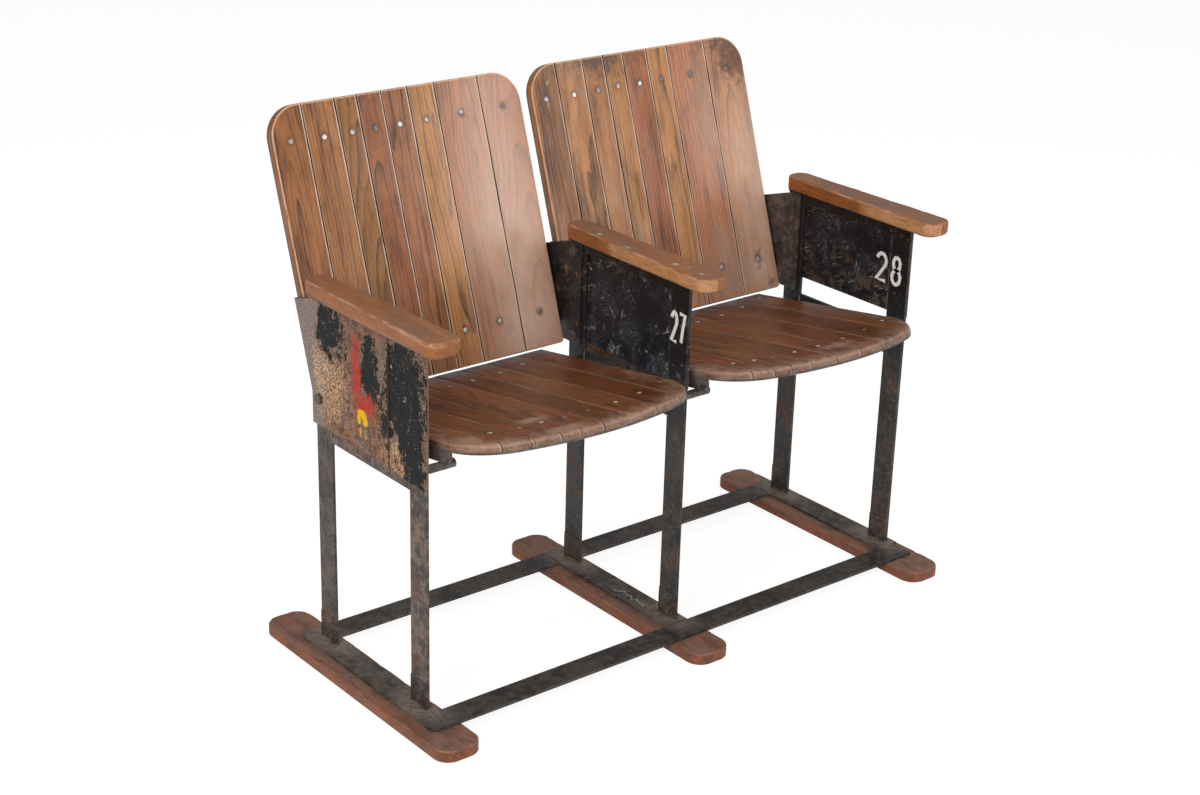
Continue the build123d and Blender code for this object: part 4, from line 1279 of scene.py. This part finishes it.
# %% Screws
head_radius, head_height, head_lift, head_sunk = 0.0040, 0.0006, 0.0001, 0.0015
slot_half, slot_depth, slot_reach = 0.00045, 0.0006, 0.93    # the reach is a share of the head's radius
stray = 0.0016    # a screw is this far off its mark at most

# Radius and height of each ring, the height counted from the strap's rear face.
nut_profile = ((0.0036, -0.0038), (0.0044, -0.0032), (0.0044, 0.0))
tail_profile = ((0.0018, -0.0055), (0.0023, -0.0050), (0.0023, -0.0036))


def screw_head(x, y, turn):
    """A low dome with a slot: its height is one minus r² over a disc, and less in a band across the middle."""
    slot = slot_half / head_radius
    across, along, v = disc(np.unique([*np.linspace(-1, 1, 13), -slot - 0.04, -slot, slot, slot + 0.04]))
    reach = np.hypot(across, along)
    cut = (np.abs(v) <= slot + 0.001) & (reach < slot_reach)
    z = head_lift + head_height * (1 - reach**2) - slot_depth * cut
    c, s = math.cos(turn), math.sin(turn)
    flat = np.stack([c * across - s * along, s * across + c * along], -1) * head_radius + (x, y)
    points, faces = slab(np.dstack([flat, z]), np.dstack([flat, np.full_like(z, -head_sunk)]))
    return points, faces, {}


def turned(x, y, base, profile, count):
    """A closed turned or six sided body about an upright axis: each (radius, height) of the profile is a ring, from
    low to high, and a cap closes both ends."""
    angles = np.arange(count) * 2 * np.pi / count
    radii, heights = np.array(profile).T
    ring = np.stack([np.cos(angles), np.sin(angles)], -1)
    points = np.concatenate([
        radii[:, None, None] * ring + (x, y),
        np.broadcast_to((base + heights)[:, None, None], (len(radii), count, 1)),
    ], -1).reshape(-1, 3)
    return points, tube_faces(len(radii), count), {}


def leaf_screws(name, widths, leaf, place, body, seed):
    """Heads of one leaf, and under its strap the screws' ends and nuts."""
    random = np.random.default_rng(seed)
    edges = seams(widths, leaf["width"])
    places = [((a + b) / 2 + random.uniform(-stray, stray), row((a + b) / 2) + random.uniform(-stray, stray))
              for a, b in zip(edges, edges[1:]) for row in leaf["rows"]]
    heads = [screw_head(x, y, random.uniform(0, math.pi)) for x, y in places]
    nuts = [turned(x, y, -leaf_thickness, profile, count) for x, y in places
            for profile, count in ((nut_profile, 6), (tail_profile, 12))]
    head_metal = seat_screw_metal if name.startswith("seat") else screw_metal
    for label, bodies, material in (("screws_", heads, head_metal), ("nuts_", nuts, nut_metal)):
        made = make_piece(label + name, bodies, material, body, place, 30)


for number, side in enumerate(("left", "right")):
    leaf_screws("back_" + side, back_boards[side], back_leaf, back_place(number), "frame", 71 + number)
    leaf_screws("seat_" + side, seat_boards[side], seat_leaf, seat_place(number), "seat_" + side, 81 + number)

# %% [markdown]
# Each leg stands in a short lap of thin plate that is welded over it. The lap
# shows as a step of under two millimetres with a slanting upper edge, so it is
# a thin slab with a wavy face, and it takes the place of the solid one.

# %% Laps
lap_thickness, lap_height = 0.0018, 0.045
lap_overhang = 0.0004    # a lap stands out this far in front of its leg and behind it


def lap_plate(face_x, y0, y1, z0, slant, random):
    """A thin plate on a leg's face: a grid across and up it, eased at its edges, with a slanting top."""
    across, rise = np.meshgrid(crowded(14), crowded(22))
    y = y0 + (y1 - y0) * across
    z = z0 + rise * (lap_height + slant * (across - 0.5))
    edge = np.minimum(np.minimum(y - y0, y1 - y), z0 + lap_height + slant * (across - 0.5) - z)
    wave = wobble(z / 0.06 + across, random, 4, 0.0002)
    proud = lap_thickness - ease(np.maximum(edge, 0), 0.0012) + wave
    outside = np.stack([face_x - proud, y, z], -1)
    inside = np.stack([np.full_like(y, face_x + 0.0003), y, z], -1)
    points, faces = slab(outside, inside)
    return points, faces[:, ::-1], {}


random = np.random.default_rng(9)
laps = []
for side in sides:
    for leg in ("front_leg_", "rear_leg_"):
        low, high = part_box(leg + side)
        slant = random.uniform(-0.005, 0.002)
        laps.append(lap_plate(low.x, low.y - lap_overhang, high.y + lap_overhang, low.z, slant, random))
made = make_piece("leg_laps", laps, lap_steel, "frame")
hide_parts("leg_cleats")

# %% Weld beads
bead_radius, bead_step, ripple_pitch = 0.0022, 0.0011, 0.0042
sunk = 0.0012    # a bead between two flat bars lies this far under their faces
inset = 0.003


def bead(start, end, radius, random):
    """A rippled bead: a round tube about a line, its radius swelling every few millimetres and closing at the ends."""
    start, end = np.array(start), np.array(end)
    run = np.linalg.norm(end - start)
    steps = max(8, int(run / bead_step))
    t = np.linspace(0, 1, steps)
    forward = (end - start) / run
    side = np.cross(forward, (0, 0, 1.0) if abs(forward[2]) < 0.9 else (1.0, 0, 0))
    side /= np.linalg.norm(side)
    lift = np.cross(side, forward)
    ripple = 1 + 0.13 * np.abs(np.sin(np.pi * t * run / ripple_pitch + random.random()))
    ripple = ripple + wobble(t * run / 0.03, random, 3, 0.12)
    close = np.sqrt(np.clip(1 - np.abs(2 * t - 1) ** max(4.0, run / 0.003), 0, 1))
    reach = radius * ripple * np.clip(close, 0.15, 1)
    angles = np.linspace(0, 2 * np.pi, 10, endpoint=False)
    ring = np.cos(angles)[:, None] * side + np.sin(angles)[:, None] * lift
    points = (start + forward * run * t[:, None])[:, None, :] + reach[:, None, None] * ring
    return points.reshape(-1, 3), tube_faces(steps, len(angles), True), {}


random = np.random.default_rng(5)
beads = []


def weld(start, end, size=1.0):
    """Adds a bead, size times as thick as most."""
    beads.append(bead(start, end, bead_radius * size, random))


for side in sides:
    strip_low, strip_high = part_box("base_strip_" + side)
    rail_low, rail_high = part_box("lower_rail_" + side)
    floor_z = strip_high.z
    for leg in ("front_leg_", "rear_leg_"):
        low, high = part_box(leg + side)
        outer_x = low.x - lap_thickness
        for x in (outer_x, high.x):
            weld((x, low.y + inset, floor_z), (x, high.y - inset, floor_z))
        for y in (low.y, high.y):
            weld((outer_x, y, floor_z), (high.x, y, floor_z), 1.1)
        y = high.y if leg == "front_leg_" else low.y
        for x in (low.x, high.x):
            weld((x, y, rail_low.z + inset), (x, y, rail_high.z - inset), 0.7)
    weld((strip_low.x, strip_low.y, floor_z - sunk), (strip_high.x, strip_low.y, floor_z - sunk), 0.8)
low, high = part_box("floor_bars_rear")
for side in sides:
    strip_low, strip_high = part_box("base_strip_" + side)
    for x in (strip_low.x, strip_high.x):
        if low.x - 0.001 < x < high.x + 0.001:
            weld((x, low.y, strip_high.z - sunk), (x, high.y, strip_high.z - sunk), 0.8)
made = make_piece("weld_beads", beads, bead_metal, "frame", sharp=60)

# %% [markdown]
# Rust has pushed up small round blisters under the paint of the front legs, and
# a rivet shows near the front of the outer panel. Each is a low dome whose edge
# is flat, so that it seems to grow out of the steel.

# %% Blisters
blister_proud, blister_sunk = 0.0001, 0.0004    # its rim stands this far off the face, its back this far in


def blister(face_x, y, z, radius, lift, random):
    """A low dome on a face that looks to the left: its height is lift times (1 - r²)², with a wavy rim."""
    across, rise, _ = disc(np.linspace(-1, 1, 13))
    swell = 1 + 0.12 * np.sin(3 * np.arctan2(rise, across) + random.random() * 6)
    height = lift * (1 - np.clip(across**2 + rise**2, 0, 1)) ** 2
    flat = np.stack([y - across * radius * swell, z + rise * radius * swell], -1)
    inside = np.full_like(height, face_x + blister_sunk)
    points, faces = slab(np.dstack([face_x - blister_proud - height, flat]), np.dstack([inside, flat]))
    return points, faces, {}


# Frame, y, z, radius and lift of each.
blister_places = (
    ("middle", -0.130, 0.351, 0.0062, 0.0012), ("middle", -0.122, 0.216, 0.0035, 0.0006),
    ("right", -0.1161, 0.3404, 0.0048, 0.0009), ("right", -0.1242, 0.3101, 0.0068, 0.0011),
)
random = np.random.default_rng(14)
blisters = [blister(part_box("front_leg_" + side)[0].x, *size, random) for side, *size in blister_places]
made = make_piece("rust_blisters", blisters, lap_steel, "frame", sharp=60)
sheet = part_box("side_sheet_left")[0]
rivet_places = ((sheet.y + 0.0070, 0.5235, 0.0030, 0.0010), (-0.0615, 0.5593, 0.0026, 0.0007))
rivets = [blister(sheet.x, *size, random) for size in rivet_places]
made = make_piece("panel_rivets", rivets, nut_metal, "frame", sharp=60)

# %% [markdown]
# ## Seat numbers
# Two digits are painted by hand on the middle and the right frame, in white.
# Each digit is a few strokes of a flat brush, so it is built from ribbons that
# lie just over the steel. The digits here are plain ones of the same size.

# %% Numbers
def arc(centre, radius, start, end, count=14):
    """Points of an ellipse's arc; the angles are in degrees, counted from the right, upwards."""
    angles = np.radians(np.linspace(start, end, count))
    return np.stack([centre[0] + radius[0] * np.cos(angles), centre[1] + radius[1] * np.sin(angles)], -1)


stroke_width, stroke_thickness = 0.0068, 0.00025
digits = {
    "2": [np.concatenate([arc((0.5, 0.72), (0.38, 0.26), 165, -35), [(0.12, 0.03)], [(0.90, 0.03)]])],
    "7": [np.array([(0.08, 0.96), (0.90, 0.96), (0.62, 0.50), (0.42, 0.02)])],
    "8": [arc((0.5, 0.74), (0.30, 0.23), 0, 360, 24), arc((0.5, 0.26), (0.36, 0.25), 0, 360, 24)],
}


def ribbon(line, width, thickness):
    """A flat closed stroke along a line: the line moved to both sides, across its own direction."""
    way = np.gradient(line, axis=0)
    way /= np.linalg.norm(way, axis=1)[:, None]
    across = np.stack([-way[:, 1], way[:, 0]], -1) * width / 2
    brush = 1 + 0.10 * np.sin(np.arange(len(line)) * 1.9)
    flat = np.stack([line + across * brush[:, None], line - across * brush[:, None]], 1)
    return slab(*(np.dstack([flat, np.full(flat.shape[:2], height)]) for height in (thickness, 0.0)))


def painted_digit(digit, node, rear_y, low_z, width, height):
    """One digit on a node's face that looks to the left: its right is towards the front."""
    face_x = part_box(node)[0].x
    bodies = []
    for stroke in digits[digit]:
        points, faces = ribbon(stroke * (width, height), stroke_width, stroke_thickness)
        bodies.append((np.stack([face_x - points[:, 2], rear_y - points[:, 0], low_z + points[:, 1]], -1), faces, {}))
    return bodies


# Digit, the node it is painted on, y of its rear, z of its foot, width and height.
painted = {
    "middle": (("2", "front_leg_middle", -0.1045, 0.5065, 0.0155, 0.050),
               ("7", "front_leg_middle", -0.1235, 0.5085, 0.0155, 0.050)),
    "right": (("2", "side_sheet_right", -0.0640, 0.5010, 0.028, 0.050),
              ("8", "front_leg_right", -0.1050, 0.5050, 0.026, 0.050)),
}
for side, pair in painted.items():
    bodies = [body for digit in pair for body in painted_digit(*digit)]
    made = make_piece("seat_number_" + side, bodies, number_paint, "frame")
